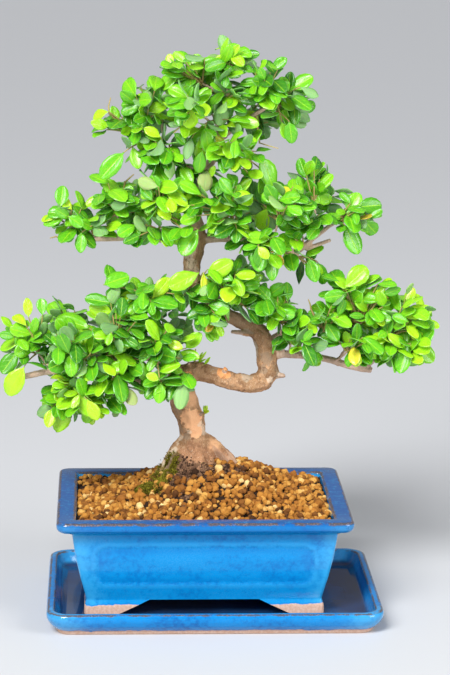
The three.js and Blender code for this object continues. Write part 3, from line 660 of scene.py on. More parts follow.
class Scatter:
    """Copies of a few small shapes, set down in many places and joined in one mesh."""

    def __init__(self, shapes: Sequence[dict[str, np.ndarray]]) -> None:
        """Starts with no copies.

        Args:
            shapes: The small shapes, as `read_shape` gives them.
        """
        self.shapes = shapes
        self.points: list[np.ndarray] = []
        self.copies: list[int] = []
        self.values: list[dict[str, float]] = []

    def add(self, shape: int, place: Matrix, **values: float) -> None:
        """Sets one copy down.

        Args:
            shape: Which shape.
            place: Its place, turn and scale.
            values: Numbers that each of its vertices carries.
        """
        turn = np.array(place)
        self.points.append(self.shapes[shape]["points"] @ turn[:3, :3].T + turn[:3, 3])
        self.copies.append(shape)
        self.values.append(values)

    def mesh(self, name: str) -> bpy.types.Mesh:
        """Joins all copies in one mesh.

        Args:
            name: The mesh's name.

        Returns:
            The mesh, in millimetres.
        """
        made = bpy.data.meshes.new(name)
        used = [self.shapes[i] for i in self.copies]
        starts = np.cumsum([0] + [len(s["points"]) for s in used[:-1]])
        corners = np.concatenate([s["corners"] + start for s, start in zip(used, starts)])
        sizes = np.concatenate([s["sizes"] for s in used])
        made.vertices.add(int(sum(len(s["points"]) for s in used)))
        made.loops.add(len(corners))
        made.polygons.add(len(sizes))
        made.vertices.foreach_set("co", np.concatenate(self.points).ravel())
        made.loops.foreach_set("vertex_index", corners)
        made.polygons.foreach_set("loop_start", np.cumsum(np.concatenate([[0], sizes[:-1]])))
        made.polygons.foreach_set("loop_total", sizes)
        made.update(calc_edges=True)
        uv = made.uv_layers.new(name="UVMap")
        uv.uv.foreach_set("vector", np.concatenate([s["uvs"] for s in used]).astype(np.float32))
        for key in self.values[0]:
            each = [np.full(len(s["points"]), v[key]) for s, v in zip(used, self.values)]
            write_attribute(made, key, np.concatenate(each))
        write_attribute(made, "under", np.concatenate([s["under"] for s in used]))
        return made


def write_attribute(mesh: bpy.types.Mesh, name: str, values: np.ndarray) -> None:
    """Writes one number for each vertex of a mesh."""
    attribute = mesh.attributes.new(name, "FLOAT", "POINT")
    attribute.data.foreach_set("value", np.asarray(values, dtype=np.float32))


def settle(mesh: bpy.types.Mesh, name: str, materials: Sequence[bpy.types.Material],
           replaces: Iterable[str] = (), smooth_deg: float = 180.0) -> bpy.types.Object:
    """Turns a mesh in millimetres into a finished piece of the part.

    Args:
        mesh: The mesh, in the part's frame.
        name: The piece's name.
        materials: The materials of its faces.
        replaces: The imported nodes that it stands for.
        smooth_deg: Edges that turn more than this stay sharp.

    Returns:
        The piece.
    """
    mesh.transform(Matrix.Scale(MM, 4))
    for material in materials:
        mesh.materials.append(material)
    mesh.shade_smooth()
    if smooth_deg < 180:
        mesh.set_sharp_from_angle(angle=math.radians(smooth_deg))
    piece = put(name, mesh)
    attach(piece, "root")
    nodes = list(replaces)
    if nodes:
        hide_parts(*nodes)
    mesh.calc_loop_triangles()
    log.info("%s: %d triangles", name, len(mesh.loop_triangles))
    return piece


def to_mesh(bm: bmesh.types.BMesh, name: str) -> bpy.types.Mesh:
    """Turns a bmesh into a mesh and frees it.

    Args:
        bm: The bmesh.
        name: The mesh's name.

    Returns:
        The mesh.
    """
    mesh = bpy.data.meshes.new(name)
    bm.to_mesh(mesh)
    bm.free()
    return mesh


def node_in_mm(name: str) -> bmesh.types.BMesh:
    """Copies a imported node, with its doubled points merged.

    Args:
        name: The node's name.

    Returns:
        The copy, in millimetres.
    """
    bm = bmesh.new()
    bm.from_mesh(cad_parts[name].data)
    bmesh.ops.scale(bm, vec=(1 / MM,) * 3, verts=bm.verts)
    bmesh.ops.remove_doubles(bm, verts=bm.verts, dist=0.001)
    return bm


def with_modifiers(mesh: bpy.types.Mesh, add: Callable[[bpy.types.Object], None]) -> bpy.types.Mesh:
    """A copy of a mesh as modifiers leave it.

    Args:
        mesh: The mesh to change.
        add: Adds the modifiers to an object that holds the mesh.

    Returns:
        The changed mesh.
    """
    holder = put("holder", mesh)
    add(holder)
    graph = bpy.context.evaluated_depsgraph_get()
    made = bpy.data.meshes.new_from_object(holder.evaluated_get(graph))
    bpy.data.objects.remove(holder)
    return made


@dataclass(frozen=True)
class RoundedRectangle:
    """The plan of the pot or the tray: a rectangle whose corners tighten towards the inside."""

    half_x: float
    half_y: float
    corner: float
    x: float = 0.0
    y: float = 0.0
    tightening: float = 0.75
    least_corner: float = 2.5
    corner_steps: int = 8
    side_steps: int = 6
    spin_radius: float = 200.0
    outermost: float = -5.0
    halvings: int = 18
    corner_fade: float = 7.0

    def radius(self, inset: float) -> float:
        """The corner radius at an inset from the widest outline."""
        return max(self.corner - inset * self.tightening, self.least_corner)

    def _on_arc(self, quadrant: int, share: float, inset: float) -> Vector:
        """A point on one corner's arc.

        Args:
            quadrant: Which corner, from 0 on the right at the back.
            share: How far along the arc, from 0 to 1.
            inset: How far inside the widest outline.

        Returns:
            The point.
        """
        radius = self.radius(inset)
        sign_x = 1 if quadrant % 4 in (0, 3) else -1
        sign_y = 1 if quadrant % 4 < 2 else -1
        angle = (quadrant + share) * math.pi / 2
        return Vector((self.x + sign_x * (self.half_x - inset - radius) + radius * math.cos(angle),
                       self.y + sign_y * (self.half_y - inset - radius) + radius * math.sin(angle)))

    def point(self, turn: float, inset: float) -> Vector:
        """A point on the outline.

        Args:
            turn: How far round it, from 0 to 4.
            inset: How far inside the widest outline.

        Returns:
            The point.
        """
        quadrant = int(turn) % 4
        rest = turn - int(turn)
        arc_share = self.corner_steps / (self.corner_steps + self.side_steps)
        if rest <= arc_share:
            return self._on_arc(quadrant, rest / arc_share, inset)
        start = self._on_arc(quadrant, 1, inset)
        end = self._on_arc(quadrant + 1, 0, inset)
        return start.lerp(end, (rest - arc_share) / (1 - arc_share))

    def inset_at(self, x: float, y: float) -> float:
        """How far inside the widest outline a point lies, found by halving.

        Args:
            x: The point's place from left to right.
            y: Its place from front to back.

        Returns:
            The inset, in millimetres.
        """
        low, high = self.outermost, self.half_y
        for _ in range(self.halvings):
            inset = (low + high) / 2
            radius = self.radius(inset)
            dx = max(abs(x - self.x) - (self.half_x - inset - radius), 0)
            dy = max(abs(y - self.y) - (self.half_y - inset - radius), 0)
            if math.hypot(dx, dy) > radius:
                high = inset
            else:
                low = inset
        return low

    def turned(self, section: Sequence[tuple[float, float]], soften: float) -> bmesh.types.BMesh:
        """A body spun from a section of (inset, height) points and laid round the outline.

        Args:
            section: The section, from the middle of the underside round to the middle of the top.
            soften: How far the section's corners are rounded.

        Returns:
            The closed body, in millimetres.
        """
        bm = bmesh.new()
        points = [bm.verts.new((self.spin_radius - inset, 0, z)) for inset, z in section]
        for a, b in zip(points, points[1:]):
            bm.edges.new((a, b))
        bmesh.ops.bevel(bm, geom=points[1:-1], offset=soften, offset_type="OFFSET", segments=2, profile=0.5,
                        affect="VERTICES", clamp_overlap=True, material=-1)
        steps = 4 * (self.corner_steps + self.side_steps)
        bmesh.ops.spin(bm, geom=bm.verts[:] + bm.edges[:], cent=(0, 0, 0), axis=UP, angle=2 * math.pi,
                       steps=steps, use_merge=True)
        for vert in bm.verts:
            turn = (math.atan2(vert.co.y, vert.co.x) / (math.pi / 2)) % 4
            inset = self.spin_radius - math.hypot(vert.co.x, vert.co.y)
            vert.co.xy = self.point(round(turn * steps) / steps, inset)
        bmesh.ops.holes_fill(bm, edges=[e for e in bm.edges if e.is_boundary], sides=0)
        bmesh.ops.recalc_face_normals(bm, faces=bm.faces)
        return bm

    def cornering(self, x: float, y: float, inset: float) -> float:
        """How near a point is to one of the four corners.

        Args:
            x: The point's place from left to right.
            y: Its place from front to back.
            inset: How far inside the widest outline it lies.

        Returns:
            The nearness, from 0 to 1 on the corner.
        """
        radius = self.radius(inset)
        dx = abs(x - self.x) - (self.half_x - inset - radius)
        dy = abs(y - self.y) - (self.half_y - inset - radius)
        return min(max(1 + min(dx, dy) / self.corner_fade, 0.0), 1.0)

    def mark(self, mesh: bpy.types.Mesh) -> None:
        """Writes each vertex's inset and nearness to a corner.

        Args:
            mesh: The mesh, in millimetres.
        """
        insets = [self.inset_at(v.co.x, v.co.y) for v in mesh.vertices]
        corners = [self.cornering(v.co.x, v.co.y, inset) for v, inset in zip(mesh.vertices, insets)]
        write_attribute(mesh, "inset", np.array(insets))
        write_attribute(mesh, "corner", np.array(corners))


@dataclass
class DripTray:
    """The glazed tray that the pot stands in."""

    plan: RoundedRectangle = RoundedRectangle(116.5, 82.5, 15)
    soften: float = 0.9
    section: tuple[tuple[float, float], ...] = (
        (8.4, 0), (7.4, 0.8), (7.2, 2.8), (5.6, 3.6), (2.2, 7), (0.4, 10.5), (0, 13.4), (0.9, 15.4),
        (2.6, 16), (4.6, 16), (5.8, 15.2), (6.6, 12.4), (9.6, 7.6), (13, 5.5))
    # The floor of the tray is painted near black: pooled glaze, and painted shade under the pot.
    glaze: Glaze = Glaze(
        "tray_glaze", body=(0.003, 0.21, 0.55), deep=(0.003, 0.11, 0.36), pale=(0.06, 0.37, 0.68),
        bare_below=3.1, edges=((1.4, 15.7), (5.6, 15.5)), pool_and_shade_below=7.5, pool_and_shade_inset=11)

    def build(self) -> bpy.types.Object:
        """Builds the tray.

        Returns:
            The tray.
        """
        mesh = to_mesh(self.plan.turned(self.section, self.soften), "drip_tray_glazed")
        self.plan.mark(mesh)
        return settle(
            mesh, "drip_tray_glazed", [self.glaze.make()], ["drip_tray"], GLAZE_SHARP_DEG)


@dataclass
class Pot:
    """The glazed pot: a flared box with a broad lip, four corner feet and two drainage holes."""

    plan: RoundedRectangle = RoundedRectangle(102.5, 77.5, 8, -7, 8)
    soften: float = 0.7
    underside_z: float = 17.0
    floor_z: float = 22.0
    rim_z: float = 77.0
    foot_z: float = 5.5
    section: tuple[tuple[float, float], ...] = (
        (29, 17), (28, 5.5), (19.8, 5.5), (19, 7), (19.2, 12.5), (20.6, 17), (19.6, 21), (16.6, 33),
        (13.6, 47), (11.6, 60), (10.8, 66.4), (7.4, 68.2), (1.8, 69.8), (0.2, 71.8), (0, 75.2), (1.3, 77),
        (11.8, 77), (13.4, 75.6), (14, 70.5), (17, 63), (18.2, 50), (24, 27), (28, 22))
    arch_front: tuple[float, float] = (62.0, 38.0)
    arch_side: tuple[float, float] = (36.0, 22.0)
    hole_radius: float = 7.0
    hole_x: float = 44.0
    glaze: Glaze = Glaze(
        "pot_glaze", body=(0.002, 0.245, 0.6), deep=(0.002, 0.15, 0.46), pale=(0.05, 0.4, 0.74),
        bare_below=13.4, edges=((0.9, 76.5), (12.9, 76.5)), lip=(74.0, 77.0), edge_width=1.75,
        panel=Panel((-7, 8, 43), (76, 51, 15)))

    def _cutter(self, arch: tuple[float, float], length: float, turn: float) -> bpy.types.Mesh:
        """A wedge-sided bar that is cut out of the pot's foot and leaves the corner feet.

        Args:
            arch: The bar's half widths, at the feet and at the pot's underside.
            length: Its length.
            turn: How far it is turned about the vertical, in radians.

        Returns:
            The bar.
        """
        foot, top = arch
        bm = bmesh.new()
        low = self.foot_z - 3
        outline = [(-foot, low), (foot, low), (foot, self.foot_z + 0.4), (top, self.underside_z),
                   (-top, self.underside_z), (-foot, self.foot_z + 0.4)]
        face = bm.faces.new([bm.verts.new((x, -length / 2, z)) for x, z in outline])
        pushed = bmesh.ops.extrude_face_region(bm, geom=[face])["geom"]
        far_end = [v for v in pushed if isinstance(v, bmesh.types.BMVert)]
        bmesh.ops.translate(bm, vec=(0, length, 0), verts=far_end)
        bmesh.ops.recalc_face_normals(bm, faces=bm.faces)
        place = Matrix.Translation((self.plan.x, self.plan.y, 0)) @ Matrix.Rotation(turn, 4, "Z")
        bmesh.ops.transform(bm, matrix=place, verts=bm.verts)
        return to_mesh(bm, "arch")

    def _hole(self, side: int) -> bpy.types.Mesh:
        """The cutter of one drainage hole.

        Args:
            side: -1 for the left hole and 1 for the right one.

        Returns:
            The cutter.
        """
        bm = bmesh.new()
        middle = (self.floor_z + self.underside_z) / 2
        place = Matrix.Translation((self.plan.x + side * self.hole_x, self.plan.y, middle))
        bmesh.ops.create_cone(
            bm, cap_ends=True, segments=32, radius1=self.hole_radius, radius2=self.hole_radius,
            depth=2 * (self.floor_z - self.underside_z), matrix=place)
        return to_mesh(bm, "hole")

    def build(self) -> bpy.types.Object:
        """Builds the pot.

        Returns:
            The pot.
        """
        body = to_mesh(self.plan.turned(self.section, self.soften), "body")
        cutters = [self._cutter(self.arch_front, self.plan.half_y * 3, 0),
                   self._cutter(self.arch_side, self.plan.half_x * 3, math.pi / 2),
                   self._hole(-1), self._hole(1)]
        for cutter in cutters:
            body = self._less(body, cutter)
        self.plan.mark(body)
        return settle(body, "pot_glazed", [self.glaze.make()], ["pot"], GLAZE_SHARP_DEG)

    @staticmethod
    def _less(body: bpy.types.Mesh, cutter: bpy.types.Mesh) -> bpy.types.Mesh:
        """Takes a cutter out of a body.

        Args:
            body: The body.
            cutter: The cutter.

        Returns:
            What is left of the body.
        """
        tool = put("cutter", cutter)

        def cut(holder: bpy.types.Object) -> None:
            """Adds the cut.

            Args:
                holder: The object that holds the body.
            """
            boolean = holder.modifiers.new("cut", "BOOLEAN")
            boolean.operation = "DIFFERENCE"
            boolean.solver = "EXACT"
            boolean.object = tool

        made = with_modifiers(body, cut)
        bpy.data.objects.remove(tool)
        return made


@dataclass
class Wood:
    """The trunk, limbs and twigs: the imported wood, rounded off and covered in flaking bark."""

    fatten: float = 0.22
    voxel: float = 0.78
    smoothing: int = 3
    plate_size: float = 14.0
    plate_rise: float = 0.4
    lump_size: float = 9.0
    lump_rise: float = 0.7
    ridge_size: float = 1.9
    ridge_rise: float = 0.2
    ragged_size: float = 4.0
    most_girth: float = 30.0
    least_girth: float = 1.0
    smooth_below: float = 3.0
    stout_after: float = 9.0
    places: dict[str, tuple[Place, ...]] = field(default_factory=lambda: {
        "mossy": rounds(
            (-33, 15, 92, 10), (-36, 16, 88, 9), (-29, 15, 98, 8), (-26, 14, 104, 5), (40, 22, 200, 12)),
        "soiled": rounds(
            (-24, 11, 101, 7), (-20, 9, 98, 8), (-13, 8, 97, 7), (-6, 8, 97, 7), (-27, 10, 95, 8),
            (6, 10, 100, 5)),
        "flushed": rounds((2, 18, 111, 7), (-14, 13, 144, 10)),
        "peeled": rounds((-14, 13, 131, 12), (-11, 13, 121, 7), (-22, 14, 152, 9), (-14, 34, 124, 13)),
        "pale": rounds(
            (-22, 18, 115, 4), (-24, 18, 111, 4), (-26, 18, 108, 5), (-29, 18, 105, 5), (-31, 17, 102, 5),
            (-34, 16, 98, 5), (-8, 15, 126, 4), (-6, 15, 120, 6), (31, 16, 183, 5), (30, 16, 176, 5),
            (48, 12, 163, 6), (-16, 13, 121, 3), (-17, 15, 250, 7), (-16, 15, 243, 7), (-15, 15, 236, 7),
            (32, 15, 178, 4), (24, 13, 161, 5), (40.5, 14, 160, 4.5)),
        "grey": rounds(
            (-22, 13, 123, 6), (-25, 14, 137, 6), (-18, 13, 117, 5), (1, 12, 168, 6), (24, 12, 164, 8),
            (38, 14, 175, 8), (36, 14, 166, 6), (27, 13, 161, 4)),
        # Where the root flare is painted darker, as shade under the crown.
        "root": rounds((-14, 14, 96, 26), (12, 20, 96, 18), (-34, 20, 92, 12), (-14, 42, 98, 22)),
        "orange": rounds((8.7, 12, 166, 8), (-17, 12, 163, 4)),
        "cracked": rounds(
            (-5, 11, 168, 3), (-26, 14, 131, 2.5), (-23, 13, 129, 2.5), (-20, 13, 127, 2.5),
            (-8, 15, 138, 4), (34, 13, 167, 3), (30, 14, 166.5, 3), (-13.5, 13, 116, 2)),
    })
    snap: float = 8.0
    bark: Bark = field(default_factory=Bark)

    def build(self) -> bpy.types.Object:
        """Builds the wood.

        Returns:
            The wood.
        """
        rough = to_mesh(node_in_mm("trunk"), "rough_wood")
        mesh = with_modifiers(rough, self._round_off)
        mesh = self._largest(mesh)
        self._grow_bark(mesh)
        return settle(mesh, "tree_wood", [self.bark.make()], ["trunk"])

    def _round_off(self, holder: bpy.types.Object) -> None:
        """Adds the modifiers that turn the faceted wood into rounded wood.

        Args:
            holder: The object that holds the wood.
        """
        fatten = holder.modifiers.new("fatten", "DISPLACE")
        fatten.mid_level = 0
        fatten.strength = self.fatten
        remesh = holder.modifiers.new("remesh", "REMESH")
        remesh.mode = "VOXEL"
        remesh.voxel_size = self.voxel
        smooth = holder.modifiers.new("smooth", "SMOOTH")
        smooth.factor = 0.5
        smooth.iterations = self.smoothing

    @staticmethod
    def _largest(mesh: bpy.types.Mesh) -> bpy.types.Mesh:
        """Keeps the largest body of a mesh.

        Args:
            mesh: The mesh.

        Returns:
            A mesh with that body alone.
        """
        bm = bmesh.new()
        bm.from_mesh(mesh)
        left = set(bm.verts)
        bodies = []
        while left:
            body = [left.pop()]
            for vert in body:
                near = {edge.other_vert(vert) for edge in vert.link_edges} & left
                left -= near
                body.extend(near)
            bodies.append(body)
        bodies.sort(key=len, reverse=True)
        log.info("wood bodies: %s", [len(body) for body in bodies[:8]])
        bmesh.ops.delete(bm, geom=[vert for body in bodies[1:] for vert in body], context="VERTS")
        return to_mesh(bm, "wood")

    def _on_bark(self, tree: BVHTree, place: Place) -> Place:
        """Moves a place straight back or forward onto the bark, where there is some near.

        Args:
            tree: The wood.
            place: The place.

        Returns:
            The moved place.
        """
        centre, reach = place
        ahead = Vector((centre.x, centre.y - self.snap, centre.z))
        found = tree.ray_cast(ahead, Vector((0, 1, 0)), 2 * self.snap)[0]
        return (found or centre), reach

    def _girth(self, tree: BVHTree, vert: bmesh.types.BMVert) -> float:
        """How thick the wood is behind a point.

        Args:
            tree: The wood.
            vert: The point.

        Returns:
            The thickness, in millimetres.
        """
        inward = -vert.normal
        depth = tree.ray_cast(vert.co + inward * 0.3, inward)[3]
        return min(depth, self.most_girth) if depth is not None else self.least_girth

    def _plate(self, point: Vector) -> float:
        """How far a point lies on a flake of the bark.

        Args:
            point: The point.

        Returns:
            A share from 0 in the cracks between the flakes to 1 on one.
        """
        where = Vector((point.x, point.y, point.z * 0.6)) / self.plate_size
        distances, _ = noise.voronoi(where + noise.noise_vector(where * 2.1) * 0.35)
        ragged = noise.fractal(point / self.ragged_size, 1.0, 2.0, 4)
        return min(max(0.5 + (distances[1] - distances[0] - 0.22) * 1.6 + ragged * 0.45, 0), 1)

    def _relief(self, point: Vector, plate: float) -> float:
        """How far the bark of stout wood stands out at a point.

        Args:
            point: The point.
            plate: How far it lies on a flake.

        Returns:
            The height of flake, lumps and ridges together, in millimetres.
        """
        step = min(max((plate - 0.42) / 0.16, 0), 1) * self.plate_rise
        lumps = noise.fractal(point / self.lump_size, 1.0, 2.0, 3) * self.lump_rise
        drawn_out = Vector((point.x, point.y, point.z * 0.35))
        ridges = noise.fractal(drawn_out / self.ridge_size, 1.0, 2.0, 2) * self.ridge_rise
        return step + lumps + ridges

    def _grow_bark(self, mesh: bpy.types.Mesh) -> None:
        """Raises the bark's flakes and ridges and writes what the material reads.

        Args:
            mesh: The wood, in millimetres.
        """
        bm = bmesh.new()
        bm.from_mesh(mesh)
        tree = BVHTree.FromBMesh(bm)
        places = {key: [self._on_bark(tree, place) for place in found] for key, found in self.places.items()}
        marks: dict[str, list[float]] = {key: [] for key in ("plate", "girth", *places)}
        moved = []
        for vert in bm.verts:
            girth = self._girth(tree, vert)
            plate = self._plate(vert.co)
            stout = min(max((girth - self.smooth_below) / self.stout_after, 0), 1)
            moved.append(vert.co + vert.normal * stout * self._relief(vert.co, plate))
            marks["plate"].append(plate)
            marks["girth"].append(girth)
            for key, found in places.items():
                marks[key].append(nearness(vert.co, found))
        for vert, place in zip(bm.verts, moved):
            vert.co = place
        bm.to_mesh(mesh)
        bm.free()
        for key, values in marks.items():
            write_attribute(mesh, key, np.array(values))


@dataclass
class Soil:
    """The granules, dark humus and moss on top of the packed soil."""

    pot: Pot
    spacing: float = 3.9
    grain_size: tuple[float, float, float] = (1.35, 3.3, 2.05)
    grain_shapes: int = 14
    shake: float = 1.1
    # Each layer of grains: the share of its places that is filled, and how far up they sit.
    layers: tuple[tuple[float, float], ...] = ((0.9, 0.1), (0.5, 0.85))
    wall_inset: float = 15.0
    root_rise: float = 30.0
    seed: int = 71
    crumbs_per_area: float = 1.5
    tufts_per_area: float = 21.0
    tuft_rise: float = 2.3
    large: tuple[Place, ...] = rounds((4.7, 3, 97.5, 3.2), (24, -12, 90, 2.8), (-52, -30, 79, 2.9))
    humus: tuple[Place, ...] = rounds(
        (-18, 2, 95, 13), (8, 4, 96, 9), (-8, -4, 91, 10), (-4, 7, 98, 9), (-21, 10, 102, 8),
        (-24, 7, 97, 8), (-28, 6, 93, 7), (-14, 7, 99, 7), (-18, -24, 83, 8), (-30, -4, 89, 8),
        (21, 6, 96, 7), (10, 8, 99, 6), (23, 12, 98, 5), (56, -46, 78, 8), (36, -8, 90, 5))
    moss: tuple[Place, ...] = rounds(
        (-41, -1, 87, 11), (-35, 6, 93, 9), (-32, 10, 96, 7), (-29, 12, 100, 5), (-26, 14, 105, 4),
        (-48, 2, 84, 7), (-37, 16.5, 89, 5), (-33, 17, 94, 4.5), (-30, 17, 99, 4))

    def build(self) -> None:
        """Builds all that lies on the soil."""
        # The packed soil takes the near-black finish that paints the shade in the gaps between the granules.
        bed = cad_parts["soil"].data.materials
        bed.clear()
        bed.append(SHADED_SOIL_BED.make())
        self.rng = random.Random(self.seed)
        self.ground = BVHTree.FromBMesh(node_in_mm("soil"))
        self.wood = BVHTree.FromBMesh(node_in_mm("trunk"))
        self._granules()
        self._humus()
        self._moss()

    def _grain_shapes(self, bevel: float) -> list[dict[str, np.ndarray]]:
        """Rounded, angular grains about two units across.

        Args:
            bevel: How far their edges are cut off.

        Returns:
            The grains.
        """
        shapes = []
        for _ in range(self.grain_shapes):
            bm = bmesh.new()
            bmesh.ops.create_cube(bm, size=1.7)
            bmesh.ops.bevel(
                bm, geom=bm.edges[:] + bm.verts[:], offset=bevel, offset_type="OFFSET", segments=1,
                profile=0.5, affect="EDGES", clamp_overlap=True, material=-1)
            for vert in bm.verts:
                vert.co *= self.rng.uniform(0.78, 1.14)
            shapes.append(read_shape(to_mesh(bm, "grain")))
        return shapes

    def _drop(self, x: float, y: float, onto_wood: bool = False) -> tuple[Vector, Vector] | None:
        """Where a thing dropped on the soil comes to lie.

        Args:
            x: Its place from left to right.
            y: Its place from front to back.
            onto_wood: Whether it may lie on a root.

        Returns:
            The place and the way the ground faces there, or None where it would fall elsewhere.
        """
        if self.pot.plan.inset_at(x, y) < self.wall_inset:
            return None
        start = Vector((x, y, self.pot.rim_z + self.root_rise))
        ground = self.ground.ray_cast(start, -UP)
        wood = self.wood.ray_cast(start, -UP)
        if ground[0] is None or (wood[0] is not None and wood[0].z > ground[0].z):
            return (wood[0], wood[1]) if onto_wood and wood[0] is not None else None
        return ground[0], ground[1]

    def _turned(self, point: Vector, size: float) -> Matrix:
        """A place with any turn and an uneven scale.

        Args:
            point: The place.
            size: The mean scale.

        Returns:
            The place, turn and scale.
        """
        turn = Quaternion([self.rng.gauss(0, 1) for _ in range(4)]).normalized().to_matrix().to_4x4()
        scale = Matrix.Diagonal([size * self.rng.uniform(0.74, 1.16) for _ in range(3)] + [1])
        return Matrix.Translation(point) @ turn @ scale

    def _granules(self) -> None:
        """Two layers of granules over the whole soil, the upper one open, so that the dark gaps show, where
        the bed's near-black colour is painted shade.
        """
        scatter = Scatter(self._grain_shapes(0.42))
        plan = self.pot.plan
        row_step = self.spacing * math.sqrt(3) / 2
        for layer, (share, rise) in enumerate(self.layers):
            for row in range(int(2 * plan.half_y / row_step)):
                for column in range(int(2 * plan.half_x / self.spacing)):
                    x = plan.x - plan.half_x + (column + 0.5 * (row % 2) + 0.3 * layer) * self.spacing
                    y = plan.y - plan.half_y + row * row_step
                    aside, ahead = (self.rng.uniform(-self.shake, self.shake) for _ in range(2))
                    found = self._drop(x + aside, y + ahead)
                    if found is None or self.rng.random() > share:
                        continue
                    if layer and plan.inset_at(x, y) < self.wall_inset + 5:
                        continue
                    dark = nearness(found[0], self.humus)
                    if self.rng.random() < max(dark * 1.5, nearness(found[0], self.moss) * 1.2):
                        continue
                    size = self.rng.triangular(*self.grain_size)
                    tone = self.rng.triangular(0.0, 1.02, 0.55) - dark * 0.25
                    scatter.add(self.rng.randrange(self.grain_shapes),
                                self._turned(found[0] + UP * size * rise, size), tone=tone)
        for place, size in self.large:
            scatter.add(self.rng.randrange(self.grain_shapes), self._turned(place, size), tone=0.96)
        settle(scatter.mesh("akadama_grains"), "akadama_grains", [AKADAMA.make()],
               smooth_deg=GRAIN_SHARP_DEG)

    def _humus(self) -> None:
        """Small dark crumbs where the old root ball shows."""
        scatter = Scatter(self._grain_shapes(0.5))
        for centre, reach in self.humus:
            for _ in range(int(reach * reach * self.crumbs_per_area)):
                x, y = (self.rng.gauss(middle, reach * 0.5) for middle in (centre.x, centre.y))
                found = self._drop(x, y, onto_wood=True)
                if found is None or found[0].z > centre.z + reach * 0.25 or found[1].z < 0.15:
                    continue
                size = self.rng.uniform(0.45, 1.2)
                scatter.add(self.rng.randrange(self.grain_shapes),
                            self._turned(found[0] + UP * (size * 0.4 + 0.4), size), tone=self.rng.random())
        settle(scatter.mesh("humus_crumbs"), "humus_crumbs", [HUMUS.make()],
               smooth_deg=GRAIN_SHARP_DEG)

    def _moss(self) -> None:
        """Tufts of moss on the soil and the root beside it."""
        bm = bmesh.new()
        bmesh.ops.create_cone(bm, cap_ends=True, segments=3, radius1=0.28, radius2=0.02, depth=1.0)
        bmesh.ops.translate(bm, vec=(0, 0, 0.5), verts=bm.verts)
        scatter = Scatter([read_shape(to_mesh(bm, "moss_leaf"))])
        for centre, reach in self.moss:
            for _ in range(int(reach * reach * self.tufts_per_area)):
                x = self.rng.gauss(centre.x, reach * 0.4)
                y = self.rng.gauss(centre.y, reach * 0.4)
                found = self._drop(x, y, onto_wood=True)
                if found is None or noise.noise(Vector((x, y, 0)) / 4) < -0.3:
                    continue
                lean = (found[1] + random_step(self.rng, 0.8)).normalized()
                turn = lean.to_track_quat("Z", "Y").to_matrix().to_4x4()
                rise = self.tuft_rise if found[1].z > 0.75 else 1.0
                point = found[0] + found[1] * self.rng.uniform(-0.2, 1.3) * rise
                size = self.rng.uniform(0.8, 1.9)
                place = Matrix.Translation(point) @ turn @ Matrix.Scale(size, 4)
                scatter.add(0, place, tone=self.rng.random())
        settle(scatter.mesh("moss_tufts"), "moss_tufts", [MOSS.make()])


@dataclass
class Leaf:
    """One leaf's place: its base, the way it points, its upper face and its length."""

    base: Vector
    direction: Vector
    face: Vector
    length: float
    breadth: float = 1.0

    def matrix(self) -> Matrix:
        """The place as a matrix.

        Returns:
            What moves a leaf shape one unit long that points along +Y to its place.
        """
        across = self.direction.cross(self.face).normalized()
        face = across.cross(self.direction).normalized()
        turn = Matrix((across, self.direction, face)).transposed().to_4x4()
        size = Matrix.Diagonal((self.length * self.breadth, self.length, self.length, 1))
        return Matrix.Translation(self.base) @ turn @ size


@dataclass(frozen=True)
class Lobe:
    """A rounded mass of leaves in a spray."""

    centre: Vector
    reach: Vector
    looseness: float = 1.0

    def depth(self, point: Vector) -> float:
        """How far out a point lies, from 0 in the middle past 1 at the ends of the lobe's axes."""
        away = Vector([(point[k] - self.centre[k]) / self.reach[k] for k in range(3)])
        return max(away.length, max(map(abs, away)) * 1.12) / self.looseness


def lobe(x: float, y: float, z: float, across: float, deep: float, high: float) -> Lobe:
    """A small lobe from its middle and its half sizes; its outermost leaves may stand out a little."""
    return Lobe(Vector((x, y, z)), Vector((across, deep, high)), SMALL_LOBE_LOOSENESS)


@dataclass(frozen=True)
class Stray:
    """A single leaf that stands out from a spray."""

    base: Vector
    tip: Vector
    age: float | None = None
    breadth: float = 1.0
    shows_under: bool = False


def stray(base: Point, tip: Point, age: float | None = None, breadth: float = 1.0,
          shows_under: bool = False) -> Stray:
    """A stray leaf from the end of its stalk to its tip, with a tone of its own if it has one."""
    return Stray(Vector(base), Vector(tip), age, breadth, shows_under)


@dataclass(frozen=True)
class Arch:
    """The curved line of a shoot, from the wood past a bend to its end."""

    start: Vector
    bend: Vector
    end: Vector

    def point(self, share: float) -> Vector:
        """The point at a share of the way."""
        return self.start.lerp(self.bend, share).lerp(self.bend.lerp(self.end, share), share)

    def tangent(self, share: float) -> Vector:
        """The way the line runs at a share of the way."""
        return (self.bend.lerp(self.end, share) - self.start.lerp(self.bend, share)).normalized()

    def line(self, reached: float) -> list[Vector]:
        """The line from the wood to a share of the way."""
        return [self.point(share) for share in np.linspace(0, reached, STEM_POINTS)]


class Growth:
    """What has grown of one spray: its leaves and the lines of its shoots."""

    def __init__(self, shapes: Sequence[dict[str, np.ndarray]]) -> None:
        """Starts with nothing, for leaves of the given shapes."""
        self.leaves = Scatter(shapes)
        self.stems: list[list[Vector]] = []


# Gaps in the foliage, each by the x and z of its middle and its reach.
WINDOWS: tuple[Point, ...] = (
    (-13.5, 253, 8), (-13.8, 244, 8), (-14, 236, 6), (-117, 290, 7), (-4, 402, 5), (25, 398, 5),
    (-71, 331, 7), (-64, 305, 5), (109, 294, 6), (-125, 169, 6), (82, 182, 6), (155, 192, 4),
    (148, 227, 5), (18, 203, 7), (-10, 172, 7), (-1, 174, 6), (50, 178, 7), (58, 178, 6),
)

